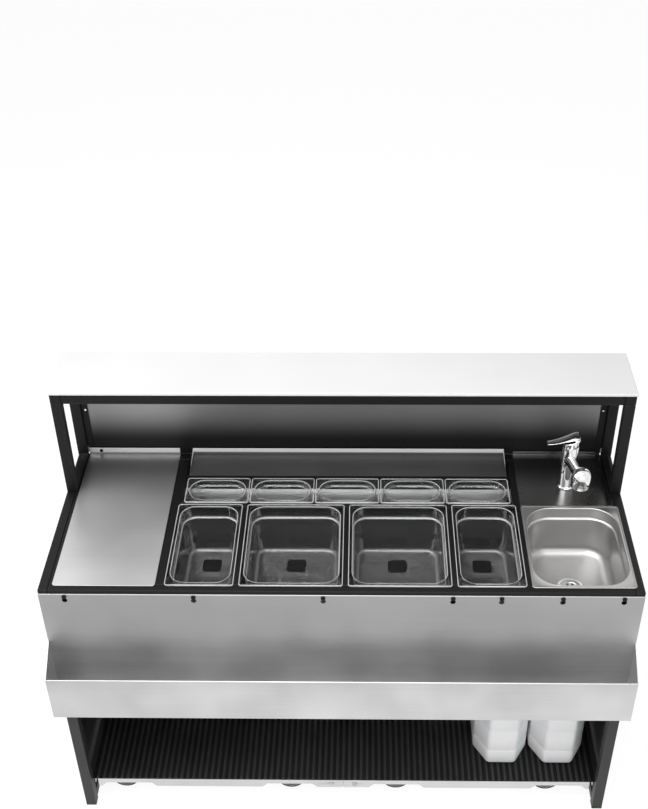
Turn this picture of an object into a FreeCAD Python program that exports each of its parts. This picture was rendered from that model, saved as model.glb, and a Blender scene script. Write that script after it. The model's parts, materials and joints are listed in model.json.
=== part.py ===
import FreeCAD, Part
import math
import os

Vec = FreeCAD.Vector
axis_x = Vec(1, 0, 0)
axis_y = Vec(0, 1, 0)
axis_z = Vec(0, 0, 1)

os.makedirs("parts", exist_ok=True)

# Heights and reach, in millimetres; the width and depth add up from the worktop's layout
worktop_height = 880.0
counter_clear_height = 294.0
rail_reach = 90.0

# Tube and sheet stock, and the clearances that all pieces share
tube_side = 30.0
tube_wall = 2.0
top_rail_width = 25.0
steel_sheet = 1.5
panel_sheet = 2.0
back_sheet = 1.2
running_gap = 0.3
bore_gap = 0.05
overrun = 5.0

# Worktop layout: along the front from the left, then from front to back
left_border = 34.0
plate_width = 262.0
plate_gap = 23.5
third_width = 176.0
half_width = 265.0
pan_gap = 13.0
sink_gap = 12.5
right_border = 18.0
front_margin = 17.0
pan_length = 325.0
row_gap = 8.0
ninth_length = 108.0
ninth_gap = 4.0
ninth_end_gap = 12.5
ninth_count = 5
shelf_gap = 16.0
shelf_depth = 102.0
rear_clearance = 4.0
panel_setback = 10.0
flange_seat = 7.0
plate_seat = 8.0
rear_rail_depth = 30.0

# Side frames, infill panels and foot glides
glide_height = 8.0
glide_plug = 20.0
bearer_top = 99.0
infill_sheet = 1.5
strip_width = 18.0
strip_sheet = 3.0
lower_panel_bottom = 50.0
panel_side_gap = 1.5

# Clear food pans
rim_height = 5.0
rim_corner = 8.0
pan_wall = 2.2
pan_inset = 11.0
pan_corner = 40.0
corner_limit_share = 0.46
large_pan_drop = 150.0
small_pan_drop = 65.0
shoulder_drop_share = 0.24
shoulder_step = 4.0
shoulder_rise = 3.0
pan_taper = 5.0
pan_floor_round = 10.0
pan_floor_steps = 2
rim_bead = 3.5
rim_groove = 1.8

# Sink bowl and its drain
sink_rim = 2.0
sink_wall = 1.0
sink_inset = 10.0
sink_corner = 70.0
sink_drop = 150.0
sink_shoulder_share = 0.22
sink_floor_round = 28.0
sink_floor_steps = 4
drain_flange_radius = 36.0
drain_flange = 2.0
drain_hole_radius = 25.0
drain_body_length = 34.0
drain_tail_radius = 20.0
drain_tail_length = 55.0
drain_wall = 2.0
drain_nut_radius = 34.0
drain_nut = 8.0
strainer_hole_radius = 4.0
strainer_hole_count = 6
strainer_circle_share = 0.58

# Stainless plate, rear shelf, trough under the small pans and tap deck
plate_corner = 8.0
upstand = 20.0
shelf_end_gap = 1.0
trough_depth = 37.5
deck_front_gap = 1.0
deck_side_gap = 2.0
deck_upstand = 13.0
deck_corner = 14.0

# Tap
tap_right_of_sink_middle = 3.0
tap_behind_sink = 95.0
tap_hole_radius = 17.5
tap_foot_radius = 25.0
tap_foot = 6.0
tap_column_radius = 22.0
tap_column_height = 136.0
spout_reach = 119.0
spout_sideways = 13.5
spout_height = 92.0
spout_rise = 22.0
spout_radius = 17.0
barrel_radius = 26.0
barrel_bottom = 90.0
barrel_height = 56.0
barrel_dome = 22.0
mouth_radius = 12.0
mouth_depth = 14.0
aerator_lip = 2.0
aerator_wall = 2.0
tap_shank_radius = 16.0
tap_shank_length = 45.0
tap_nut_radius = 27.0
tap_nut = 8.0
cap_low_side = 10.0
cap_high_side = 24.0
knuckle_radius = 7.0
knuckle_offset = 15.0
lever_gap = 4.0
lever_thickness = 7.0
lever_reach = 82.0
lever_tail = 22.0
lever_root_width = 40.0
lever_tip_width = 26.0

# Speed rail and the shoulder screws that it hangs on
rail_sheet = 1.5
rail_drop = 11.0
apron_height = 369.0
lip_height = 143.0
end_wall_height = 201.0
hem_width = 3.0
hem_height = 10.0
hook_drop = 20.0
shoulder_radius = 3.5
shoulder_gap = 0.5
hook_head_radius = 6.0
hook_head = 2.5
hook_head_gap = 0.4
hook_thread_radius = 2.5
hook_thread_length = 10.0
keyhole_lift = 12.0
keyhole_round_gap = 1.0
left_hook_margin = 66.0
left_hook_pitch = 329.0
left_hook_count = 4
right_hook_margin = 51.0
right_hook_pitch = 154.5
right_hook_count = 3

# Base shelf: two half trays, mat, link plates and brackets
tray_front = 16.0
tray_end_gap = 15.0
tray_middle_gap = 0.5
tray_sheet = 2.0
tray_lip = 32.0
tray_shallow_lip = 17.0
tray_cutout_width = 132.0
tray_end_lip = 20.0
bracket_sheet = 3.0
bracket_width = 40.0
bracket_reach = 45.0
mat_base = 3.0
mat_rib = 3.0
mat_rib_width = 7.0
mat_pitch = 17.6
mat_edge = 2.0
link_width = 120.0
link_height = 24.0
link_sheet = 3.0
link_bolt_offset = 34.0
link_bolt_radius = 3.0
link_bolt_head = 7.0
link_bolt_head_height = 3.0
link_nut = 5.0

# Castors
wheel_radius = 40.0
wheel_width = 28.0
wheel_lift = 0.7
tyre_thickness = 9.0
tyre_shoulder = 4.0
hub_dish = 4.0
hub_boss_radius = 11.0
hub_side_play = 0.8
axle_radius = 4.0
axle_head_radius = 6.5
axle_head = 3.0
fork_sheet = 2.5
fork_foot_radius = 11.0
fork_top_width = 40.0
fork_crown = 5.0
castor_plate = 3.0
castor_plate_length = 76.0
castor_plate_width = 60.0
race_radius = 18.0
kingpin_radius = 5.0
kingpin_head_radius = 8.0
kingpin_head = 2.0
castor_trail = 25.0
castor_from_front = 82.0
rigid_castor_x = 157.0
swivel_castor_from_end = 91.0

# Jerrycans
can_width = 158.0
can_depth = 240.0
can_height = 288.0
can_wall = 1.6
can_round = 12.0
can_chamfer_side = 38.0
can_chamfer_front = 66.0
can_from_front = 76.0
can_spacing = 8.0
can_seat_gap = 0.3
can_side_gap = 12.0
can_neck_radius = 23.0
can_neck_wall = 2.0
can_neck_height = 14.0
can_neck_from_front = 48.0
can_cap_wall = 2.5
can_handle_width = 26.0
can_handle_bar = 16.0
can_handle_height = 46.0
can_handle_length = 118.0
can_handle_round = 6.0
can_handle_from_rear = 18.0

# Upper counter
post_depth = 20.0
post_spread = 190.0
counter_board = 8.0
counter_overhang = 10.0
board_round = 2.0
top_rail_height = 34.0
spigot_length = 24.0
spigot_gap = 0.5
gusset_sheet = 3.0
gusset_height = 60.0
gusset_flat_share = 0.52
gusset_tail_share = 0.1
strip_clear_height = 25.0

# Places worked out from the sizes above
pan_row = 2 * third_width + 2 * half_width + 3 * pan_gap
bar_width = left_border + plate_width + plate_gap + pan_row + sink_gap + half_width + right_border
pan_rows_depth = front_margin + pan_length + row_gap + ninth_length
body_depth = pan_rows_depth + shelf_gap + shelf_depth + rear_clearance + panel_setback
half_bar = bar_width / 2
front_y = (rail_reach - body_depth) / 2
back_y = front_y + body_depth
lip_y = front_y - rail_reach
leg_inner_x = half_bar - tube_side
rail_inner_x = half_bar - top_rail_width
rail_bottom = worktop_height - tube_side
panel_y = back_y - panel_setback

plate_left = left_border - half_bar
plate_right = plate_left + plate_width
third_left_x = plate_right + plate_gap
half_left_x = third_left_x + third_width + pan_gap
half_right_x = half_left_x + half_width + pan_gap
third_right_x = half_right_x + half_width + pan_gap
pans_right = third_right_x + third_width
sink_left = pans_right + sink_gap
sink_right = sink_left + half_width
sink_middle = (sink_left + sink_right) / 2

pan_front = front_y + front_margin
pan_back = pan_front + pan_length
ninth_front = pan_back + row_gap
ninth_back = ninth_front + ninth_length
shelf_front = ninth_back + shelf_gap
worktop_back = panel_y - rear_clearance
ninth_left = third_left_x + ninth_end_gap
ninth_row = pan_row - 2 * ninth_end_gap
ninth_width = (ninth_row - (ninth_count - 1) * ninth_gap) / ninth_count

front_rail_back = pan_front + flange_seat
middle_rail = (pan_back - flange_seat, ninth_front + flange_seat)
shelf_rail = (ninth_back - flange_seat, shelf_front + plate_seat)
rear_rail_front = panel_y - rear_rail_depth
plate_bar = (plate_right - plate_seat, third_left_x + flange_seat)
sink_bar = (pans_right - flange_seat, sink_left + flange_seat)
deck_right = leg_inner_x - deck_side_gap

apron_top = worktop_height - rail_drop
trough_bottom = apron_top - apron_height
apron_back = front_y - running_gap
hook_z = worktop_height - hook_drop
hook_places = [
    left_hook_margin - half_bar + left_hook_pitch * number for number in range(left_hook_count)
] + [
    half_bar - right_hook_margin - right_hook_pitch * number for number in range(right_hook_count)
]

tray_top = bearer_top + bracket_sheet + tray_sheet
tray_underside = bearer_top + bracket_sheet
tray_front_y = front_y + tray_front
tray_back_y = panel_y - rear_clearance - tray_sheet
tray_end_x = leg_inner_x - tray_end_gap
swivel_castor_x = tray_end_x - swivel_castor_from_end
mat_top = tray_top + mat_base + mat_rib
can_bottom = mat_top + can_seat_gap
can_top = can_bottom + can_height
axle_z = wheel_lift + wheel_radius
fork_inner = wheel_width / 2 + hub_side_play
castor_rows = (front_y + castor_from_front, back_y - castor_from_front)

post_front = back_y - post_spread
top_rail_bottom = worktop_height + counter_clear_height
board_bottom = top_rail_bottom + top_rail_height
counter_height = board_bottom + counter_board
post_bottom = worktop_height + running_gap

tap_x = sink_middle + tap_right_of_sink_middle
tap_y = pan_back + tap_behind_sink
deck_top = worktop_height + panel_sheet
column_top = deck_top + tap_column_height


def box(x_span, y_span, z_span):
    corner = Vec(x_span[0], y_span[0], z_span[0])
    sizes = [span[1] - span[0] for span in (x_span, y_span, z_span)]
    return Part.makeBox(*sizes, corner)


def hollow(x_span, y_span, z_span, along, wall=tube_wall):
    """A tube whose bore runs along X, Y or Z, open at both ends."""
    spans = [x_span, y_span, z_span]
    bore = [
        (low - overrun, high + overrun) if number == "xyz".index(along) else (low + wall, high - wall)
        for number, (low, high) in enumerate(spans)
    ]
    return box(*spans).cut(box(*bore))


def cylinder(radius, start, direction, length):
    return Part.makeCylinder(radius, length, start, direction)


def rounded_rectangle(x_span, y_span, corner, z):
    """A flat wire of four straight sides and four quarter arcs."""
    (left, right), (front, back) = x_span, y_span
    limit = corner_limit_share * min(right - left, back - front)
    radius = min(corner, limit)
    slack = radius * (1 - math.sqrt(0.5))
    edges = []
    corners = [
        (right, front, -1, 1, "front"),
        (right, back, -1, -1, "right"),
        (left, back, 1, -1, "back"),
        (left, front, 1, 1, "left"),
    ]
    last = Vec(left + radius, front, z)
    for x, y, step_x, step_y, side in corners:
        beside = Vec(x + step_x * radius, y, z)
        above = Vec(x, y + step_y * radius, z)
        start, end = (beside, above) if side in ("front", "back") else (above, beside)
        middle = Vec(x + step_x * slack, y + step_y * slack, z)
        edges.append(Part.LineSegment(last, start).toShape())
        edges.append(Part.Arc(start, middle, end).toShape())
        last = end
    return Part.Wire(edges)


def shrink(span, inset):
    return (span[0] + inset, span[1] - inset)


def plate(wire, thickness):
    return Part.Face(wire).extrude(axis_z * thickness)


def prism(points, direction):
    wire = Part.makePolygon(points + points[:1])
    return Part.Face(wire).extrude(direction)


def mirrored(shape):
    return shape.mirror(Vec(0, 0, 0), axis_x)


def save(name, *solids):
    shape = solids[0] if len(solids) == 1 else Part.makeCompound(list(solids))
    shape.exportStep(f"parts/{name}.step")


# Side frames

def spigot_spans(post_span_y, gap):
    x_span = shrink((rail_inner_x, half_bar), tube_wall + spigot_gap - gap)
    y_span = shrink(post_span_y, tube_wall + spigot_gap - gap)
    return x_span, y_span


front_post = (post_front, post_front + post_depth)
rear_post = (back_y - post_depth, back_y)


def side_frame():
    legs_x = (leg_inner_x, half_bar)
    front_leg = (front_y, front_y + tube_side)
    rear_leg = (back_y - tube_side, back_y)
    between = (front_leg[1], rear_leg[0])
    top_rail = hollow((rail_inner_x, half_bar), (front_y, back_y), (rail_bottom, worktop_height), "y")
    for post in (front_post, rear_post):
        x_span, y_span = spigot_spans(post, spigot_gap)
        z_span = (worktop_height - tube_wall - overrun, worktop_height + overrun)
        top_rail = top_rail.cut(box(x_span, y_span, z_span))
    strip = box(
        (leg_inner_x - strip_width, leg_inner_x),
        (panel_y - strip_sheet, panel_y),
        (mat_top, rail_bottom),
    )
    return [
        hollow(legs_x, front_leg, (glide_height, rail_bottom), "z"),
        hollow(legs_x, rear_leg, (glide_height, rail_bottom), "z"),
        hollow(legs_x, between, (glide_height, glide_height + tube_side), "y"),
        hollow(legs_x, between, (bearer_top - tube_side, bearer_top), "y"),
        top_rail,
        strip,
    ]


def side_panel():
    middle = (leg_inner_x + half_bar) / 2
    return box(
        (middle - infill_sheet / 2, middle + infill_sheet / 2),
        (front_y + tube_side, back_y - tube_side),
        (bearer_top, rail_bottom),
    )


def foot_glide(y_span):
    x_span = (leg_inner_x, half_bar)
    pad = box(x_span, y_span, (0, glide_height))
    inset = tube_wall + running_gap
    plug = box(shrink(x_span, inset), shrink(y_span, inset), (glide_height, glide_height + glide_plug))
    return pad.fuse(plug).removeSplitter()


right_frame = side_frame()
save("right_side_frame", *right_frame)
save("left_side_frame", *[mirrored(tube) for tube in right_frame])
save("right_side_panel", side_panel())
save("left_side_panel", mirrored(side_panel()))
glides = [foot_glide((front_y, front_y + tube_side)), foot_glide((back_y - tube_side, back_y))]
save("foot_glides", *glides, *[mirrored(glide) for glide in glides])


# Worktop frame

rail_z = (rail_bottom, worktop_height)
front_rail = hollow((-rail_inner_x, rail_inner_x), (front_y, front_rail_back), rail_z, "x")
for place in hook_places:
    start = Vec(place, front_y - overrun, hook_z)
    thread_hole = cylinder(hook_thread_radius + bore_gap, start, axis_y, overrun + tube_wall + overrun)
    front_rail = front_rail.cut(thread_hole)
save(
    "worktop_rails",
    front_rail,
    hollow((plate_bar[1], sink_bar[0]), middle_rail, rail_z, "x"),
    hollow((sink_bar[1], rail_inner_x), middle_rail, rail_z, "x"),
    hollow((plate_bar[1], sink_bar[0]), shelf_rail, rail_z, "x"),
    hollow((-rail_inner_x, rail_inner_x), (rear_rail_front, panel_y), rail_z, "x"),
)

full_bar = (front_rail_back, rear_rail_front)
pan_bar = (front_rail_back, middle_rail[0])
pan_bar_places = [half_left_x, half_right_x, third_right_x]
save(
    "worktop_cross_bars",
    hollow((-rail_inner_x, plate_left + plate_seat), full_bar, rail_z, "y"),
    hollow(plate_bar, full_bar, rail_z, "y"),
    *[
        hollow((x - pan_gap - flange_seat, x + flange_seat), pan_bar, rail_z, "y")
        for x in pan_bar_places
    ],
    hollow(sink_bar, full_bar, rail_z, "y"),
    hollow((deck_right - plate_seat, rail_inner_x), (middle_rail[1], rear_rail_front), rail_z, "y"),
)


# Stainless work plate, rear shelf, trough and tap deck

def upstand_wall(x_span, sheet, height):
    return box(x_span, (worktop_back - sheet, worktop_back), (worktop_height, worktop_height + height))


work_outline = [
    Vec(plate_left, worktop_back, worktop_height),
    Vec(plate_right, worktop_back, worktop_height),
    Vec(plate_right, pan_front, worktop_height),
    Vec(plate_left, pan_front, worktop_height),
]
work_plate = prism(work_outline, axis_z * panel_sheet)
front_edges = [
    edge
    for edge in work_plate.Edges
    if abs(edge.BoundBox.ZLength - panel_sheet) < bore_gap and edge.BoundBox.YMax < pan_front + bore_gap
]
work_plate = work_plate.makeFillet(plate_corner, front_edges)
work_plate = work_plate.fuse(upstand_wall((plate_left, plate_right), panel_sheet, upstand + panel_sheet))
save("work_plate", work_plate.removeSplitter())

shelf_x = (ninth_left + shelf_end_gap, ninth_left + ninth_row - shelf_end_gap)
garnish_shelf = box(shelf_x, (shelf_front, worktop_back), (worktop_height, worktop_height + steel_sheet))
garnish_shelf = garnish_shelf.fuse(upstand_wall(shelf_x, steel_sheet, upstand + steel_sheet))
for x in (shelf_x[0], shelf_x[1] - steel_sheet):
    taper = [
        Vec(x, shelf_front, worktop_height),
        Vec(x, worktop_back, worktop_height),
        Vec(x, worktop_back, worktop_height + upstand),
        Vec(x, shelf_front, worktop_height + steel_sheet),
    ]
    garnish_shelf = garnish_shelf.fuse(prism(taper, axis_x * steel_sheet))
save("garnish_shelf", garnish_shelf.removeSplitter())

trough_x = shrink((plate_bar[1], sink_bar[0]), shelf_end_gap)
trough_y = (pan_back, shelf_rail[1])
trough_z = (rail_bottom - trough_depth, rail_bottom)
pan_trough = box(trough_x, trough_y, trough_z)
pan_trough = pan_trough.cut(
    box(
        (trough_x[0] - overrun, trough_x[1] + overrun),
        shrink(trough_y, steel_sheet),
        (trough_z[0] + steel_sheet, trough_z[1] + overrun),
    )
)
save("pan_trough", pan_trough)

deck_x = (sink_left, deck_right)
deck_outline = [
    Vec(deck_x[0], worktop_back, worktop_height),
    Vec(deck_x[1], worktop_back, worktop_height),
    Vec(deck_x[1], pan_back + deck_front_gap, worktop_height),
    Vec(deck_x[0], pan_back + deck_front_gap, worktop_height),
]
tap_deck = prism(deck_outline, axis_z * panel_sheet)
rear_right_edges = [
    edge
    for edge in tap_deck.Edges
    if abs(edge.BoundBox.ZLength - panel_sheet) < bore_gap
    and edge.BoundBox.YMin > worktop_back - bore_gap
    and edge.BoundBox.XMin > deck_right - bore_gap
]
tap_deck = tap_deck.makeFillet(deck_corner, rear_right_edges)
deck_upstand_x = (deck_x[0], deck_right - deck_corner)
tap_deck = tap_deck.fuse(upstand_wall(deck_upstand_x, panel_sheet, deck_upstand))
tap_hole = cylinder(tap_hole_radius, Vec(tap_x, tap_y, worktop_height - overrun), axis_z, overrun * 3)
save("tap_deck", tap_deck.cut(tap_hole).removeSplitter())


# Pans and sink: a flat rim on the frame and a bowl of tapered rounded sections below it

def bowl(x_span, y_span, top, drop, wall, corner, shoulder_share, floor_round, floor_steps):
    """The space inside a bowl, with a stacking shoulder and a rounded floor edge, grown by a wall."""
    shoulder = top - drop * shoulder_share
    floor = top - drop - wall
    floor_turn = floor_round + wall

    def section(inset, z):
        reach = inset - wall
        radius = corner - inset + wall
        return rounded_rectangle(shrink(x_span, reach), shrink(y_span, reach), radius, z)

    sections = [
        section(0, top),
        section(0, shoulder - wall),
        section(shoulder_step, shoulder - shoulder_rise - wall),
    ]
    for number in range(floor_steps + 1):
        angle = math.pi / 2 * number / floor_steps
        inset = shoulder_step + pan_taper + floor_turn * (1 - math.cos(angle))
        sections.append(section(inset, floor + floor_turn * (1 - math.sin(angle))))
    return Part.makeLoft(sections, True, True)


def flanged_bowl(x_span, y_span, drop, rim, wall, inset, corner, shoulder_share, floor_round, steps):
    top = worktop_height + rim
    flange = plate(rounded_rectangle(x_span, y_span, rim_corner, worktop_height), rim)
    opening_x = shrink(x_span, inset)
    opening_y = shrink(y_span, inset)
    shape_sizes = (corner, shoulder_share, floor_round, steps)
    outside = bowl(opening_x, opening_y, top, drop, wall, *shape_sizes)
    inside = bowl(opening_x, opening_y, top, drop, 0, *shape_sizes)
    mouth = plate(rounded_rectangle(opening_x, opening_y, corner, top - rim), rim + overrun)
    return flange.fuse(outside).cut(inside).cut(mouth)


def clear_pan(x, y, width, length, drop):
    x_span = (x, x + width)
    y_span = (y, y + length)
    pan = flanged_bowl(
        x_span, y_span, drop, rim_height, pan_wall, pan_inset,
        pan_corner, shoulder_drop_share, pan_floor_round, pan_floor_steps,
    )
    groove_bottom = worktop_height + rim_height - rim_groove
    groove_outline = rounded_rectangle(
        shrink(x_span, rim_bead), shrink(y_span, rim_bead), rim_corner - rim_bead, groove_bottom
    )
    collar_inset = pan_inset - rim_bead
    collar_outline = rounded_rectangle(
        shrink(x_span, collar_inset), shrink(y_span, collar_inset), pan_corner + rim_bead, groove_bottom
    )
    groove = plate(groove_outline, overrun).cut(plate(collar_outline, overrun))
    return pan.cut(groove)


save("pan_third_left", clear_pan(third_left_x, pan_front, third_width, pan_length, large_pan_drop))
save("pan_half_left", clear_pan(half_left_x, pan_front, half_width, pan_length, large_pan_drop))
save("pan_half_right", clear_pan(half_right_x, pan_front, half_width, pan_length, large_pan_drop))
save("pan_third_right", clear_pan(third_right_x, pan_front, third_width, pan_length, large_pan_drop))
for number in range(ninth_count):
    x = ninth_left + number * (ninth_width + ninth_gap)
    save(f"pan_ninth_{number + 1}", clear_pan(x, ninth_front, ninth_width, ninth_length, small_pan_drop))

sink_y = (pan_front + pan_back) / 2
sink_floor = worktop_height + sink_rim - sink_drop
sink_bowl = flanged_bowl(
    (sink_left, sink_right), (pan_front, pan_back), sink_drop, sink_rim, sink_wall, sink_inset,
    sink_corner, sink_shoulder_share, sink_floor_round, sink_floor_steps,
)
drain_hole = cylinder(drain_hole_radius, Vec(sink_middle, sink_y, sink_floor - overrun), axis_z, overrun * 2)
save("sink_bowl", sink_bowl.cut(drain_hole))


def sink_drain():
    """A flanged waste with a strainer plate, a clamping nut under the bowl and a plain tail."""
    body_radius = drain_hole_radius - running_gap
    nut_top = sink_floor - sink_wall
    body_bottom = sink_floor - drain_body_length
    profile = [
        (body_radius - drain_wall, sink_floor),
        (body_radius, sink_floor + drain_flange),
        (drain_flange_radius, sink_floor),
        (body_radius, sink_floor),
        (body_radius, nut_top),
        (drain_nut_radius, nut_top),
        (drain_nut_radius, nut_top - drain_nut),
        (body_radius, nut_top - drain_nut),
        (body_radius, body_bottom),
        (drain_tail_radius, body_bottom - drain_wall),
        (drain_tail_radius, body_bottom - drain_tail_length),
        (drain_tail_radius - drain_wall, body_bottom - drain_tail_length),
        (drain_tail_radius - drain_wall, body_bottom),
        (body_radius - drain_wall, body_bottom + drain_wall),
    ]
    points = [Vec(sink_middle + radius, sink_y, z) for radius, z in profile]
    wire = Part.makePolygon(points + points[:1])
    body = Part.Face(wire).revolve(Vec(sink_middle, sink_y, 0), axis_z, 360)
    strainer_bottom = sink_floor - drain_wall * 2
    strainer_middle = Vec(sink_middle, sink_y, strainer_bottom)
    strainer = cylinder(body_radius - drain_wall / 2, strainer_middle, axis_z, drain_wall)
    for number in range(strainer_hole_count):
        angle = math.tau * number / strainer_hole_count
        reach = drain_hole_radius * strainer_circle_share
        place = strainer_middle + Vec(reach * math.cos(angle), reach * math.sin(angle), -overrun)
        strainer = strainer.cut(cylinder(strainer_hole_radius, place, axis_z, overrun * 3))
    return body.fuse(strainer)


save("sink_drain", sink_drain())


# Tap: a column with a short thick spout, a turning cap with a knuckle and a flat lever on it

cap_rise = cap_high_side - cap_low_side
cap_slope = math.atan2(cap_rise, 2 * tap_column_radius)
knuckle_x = tap_x + knuckle_offset
cap_bottom = column_top + running_gap
cap_middle = cap_bottom + (cap_low_side + cap_high_side) / 2
knuckle_z = cap_middle + knuckle_offset * math.tan(cap_slope)
barrel_x = tap_x + spout_sideways
barrel_y = tap_y - spout_reach


def tap_body():
    foot_base = Vec(tap_x, tap_y, deck_top)
    foot = Part.makeCone(tap_foot_radius, tap_column_radius, tap_foot, foot_base)
    column = cylinder(tap_column_radius, foot_base, axis_z, tap_column_height)
    toward = Vec(spout_sideways, -spout_reach, spout_rise)
    arm = cylinder(spout_radius, Vec(tap_x, tap_y, deck_top + spout_height), toward, toward.Length)
    barrel_base = Vec(barrel_x, barrel_y, deck_top + barrel_bottom)
    barrel = cylinder(barrel_radius, barrel_base, axis_z, barrel_height)
    barrel_top = deck_top + barrel_bottom + barrel_height
    rim = [edge for edge in barrel.Edges if edge.BoundBox.ZMin > barrel_top - bore_gap]
    barrel = barrel.makeFillet(barrel_dome, rim)
    shank_base = Vec(tap_x, tap_y, deck_top - tap_shank_length)
    shank = cylinder(tap_shank_radius, shank_base, axis_z, tap_shank_length)
    mouth = cylinder(mouth_radius, barrel_base - axis_z * overrun, axis_z, overrun + mouth_depth)
    return foot.fuse([column, arm, barrel, shank]).cut(mouth).removeSplitter()


def tap_aerator():
    outer = mouth_radius - bore_gap
    bottom = deck_top + barrel_bottom - aerator_lip
    length = aerator_lip + mouth_depth
    ring = cylinder(outer, Vec(barrel_x, barrel_y, bottom), axis_z, length)
    bore_start = Vec(barrel_x, barrel_y, bottom - overrun)
    bore = cylinder(outer - aerator_wall, bore_start, axis_z, overrun + length / 2)
    return ring.cut(bore)


def tap_fixing_nut():
    base = Vec(tap_x, tap_y, worktop_height - tap_nut)
    nut = cylinder(tap_nut_radius, base, axis_z, tap_nut)
    bore_start = base - axis_z * overrun
    return nut.cut(cylinder(tap_shank_radius + bore_gap, bore_start, axis_z, overrun * 2 + tap_nut))


def tap_cap():
    """A round cap with a sloping top and a half-round knuckle across it."""
    left = tap_x - tap_column_radius
    right = tap_x + tap_column_radius
    profile = [
        Vec(left, tap_y - tap_foot_radius, cap_bottom),
        Vec(right, tap_y - tap_foot_radius, cap_bottom),
        Vec(right, tap_y - tap_foot_radius, cap_bottom + cap_high_side),
        Vec(left, tap_y - tap_foot_radius, cap_bottom + cap_low_side),
    ]
    wedge = prism(profile, axis_y * 2 * tap_foot_radius)
    base = Vec(tap_x, tap_y, cap_bottom)
    body = cylinder(tap_column_radius, base, axis_z, cap_high_side).common(wedge)
    half_length = lever_tip_width / 2
    knuckle_start = Vec(knuckle_x, tap_y - half_length, knuckle_z)
    knuckle = cylinder(knuckle_radius, knuckle_start, axis_y, 2 * half_length)
    return body.fuse(knuckle).removeSplitter()


def tap_lever():
    """A flat paddle that lies along the cap's slope, with a groove over the knuckle."""
    along = Vec(math.cos(cap_slope), 0, math.sin(cap_slope))
    up = Vec(-math.sin(cap_slope), 0, math.cos(cap_slope))
    pivot = Vec(knuckle_x, tap_y, knuckle_z)

    def corner(reach, lift):
        side = Vec(0, lever_root_width / 2, 0)
        return pivot + along * reach + up * lift - side

    lifted = lever_gap + lever_thickness
    profile = [
        corner(-lever_reach, lever_gap),
        corner(lever_tail - knuckle_offset, lever_gap),
        corner(lever_tail - knuckle_offset - lever_gap, lifted),
        corner(lever_gap - lever_reach, lifted),
    ]
    slab = prism(profile, axis_y * lever_root_width)
    tip_x = knuckle_x - lever_reach - lever_gap
    tail_x = knuckle_x + lever_tail
    outline = [
        Vec(tip_x, tap_y - lever_tip_width / 2, cap_bottom),
        Vec(tap_x, tap_y - lever_root_width / 2, cap_bottom),
        Vec(tail_x, tap_y - lever_root_width / 2, cap_bottom),
        Vec(tail_x, tap_y + lever_root_width / 2, cap_bottom),
        Vec(tap_x, tap_y + lever_root_width / 2, cap_bottom),
        Vec(tip_x, tap_y + lever_tip_width / 2, cap_bottom),
    ]
    plan = prism(outline, axis_z * (cap_high_side * 2 + lifted))
    paddle = slab.common(plan)
    groove_start = Vec(knuckle_x, tap_y - lever_root_width, knuckle_z)
    groove = cylinder(knuckle_radius + running_gap, groove_start, axis_y, 2 * lever_root_width)
    return paddle.cut(groove)


save("tap_body", tap_body())
save("tap_aerator", tap_aerator())
save("tap_fixing_nut", tap_fixing_nut())
save("tap_cap", tap_cap())
save("tap_lever", tap_lever())


# Speed rail: one folded sheet from the apron round the bottle trough, with welded end walls

def speed_rail():
    lip_top = trough_bottom + lip_height
    profile = [
        (apron_back, apron_top),
        (apron_back, trough_bottom),
        (lip_y, trough_bottom),
        (lip_y, lip_top),
        (lip_y + hem_width, lip_top),
        (lip_y + hem_width, lip_top - hem_height),
        (lip_y + rail_sheet, lip_top - hem_height),
        (lip_y + rail_sheet, trough_bottom + rail_sheet),
        (apron_back - rail_sheet, trough_bottom + rail_sheet),
        (apron_back - rail_sheet, apron_top),
    ]
    sheet = prism([Vec(-half_bar, y, z) for y, z in profile], axis_x * bar_width)
    for x in (-half_bar, half_bar - rail_sheet):
        wall = [
            Vec(x, apron_back, trough_bottom),
            Vec(x, apron_back, trough_bottom + end_wall_height),
            Vec(x, lip_y, lip_top),
            Vec(x, lip_y, trough_bottom),
        ]
        sheet = sheet.fuse(prism(wall, axis_x * rail_sheet))
    slot_radius = shoulder_radius + shoulder_gap
    round_radius = hook_head_radius + keyhole_round_gap
    cut_y = (apron_back - rail_sheet - overrun, apron_back + overrun)
    cuts = []
    for x in hook_places:
        start = Vec(x, cut_y[0], hook_z)
        length = cut_y[1] - cut_y[0]
        cuts.append(cylinder(slot_radius, start, axis_y, length))
        cuts.append(box((x - slot_radius, x + slot_radius), cut_y, (hook_z - keyhole_lift, hook_z)))
        cuts.append(cylinder(round_radius, start - axis_z * keyhole_lift, axis_y, length))
    return sheet.cut(cuts).removeSplitter()


def shoulder_screw(x):
    shoulder = running_gap + rail_sheet + hook_head_gap
    seat = Vec(x, front_y, hook_z)
    thread = cylinder(hook_thread_radius, seat, axis_y, hook_thread_length)
    neck = cylinder(shoulder_radius, seat - axis_y * shoulder, axis_y, shoulder)
    head = cylinder(hook_head_radius, seat - axis_y * (shoulder + hook_head), axis_y, hook_head)
    return thread.fuse([neck, head])


save("speed_rail", speed_rail())
save("rail_screws", *[shoulder_screw(x) for x in hook_places])


# Base shelf

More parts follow.
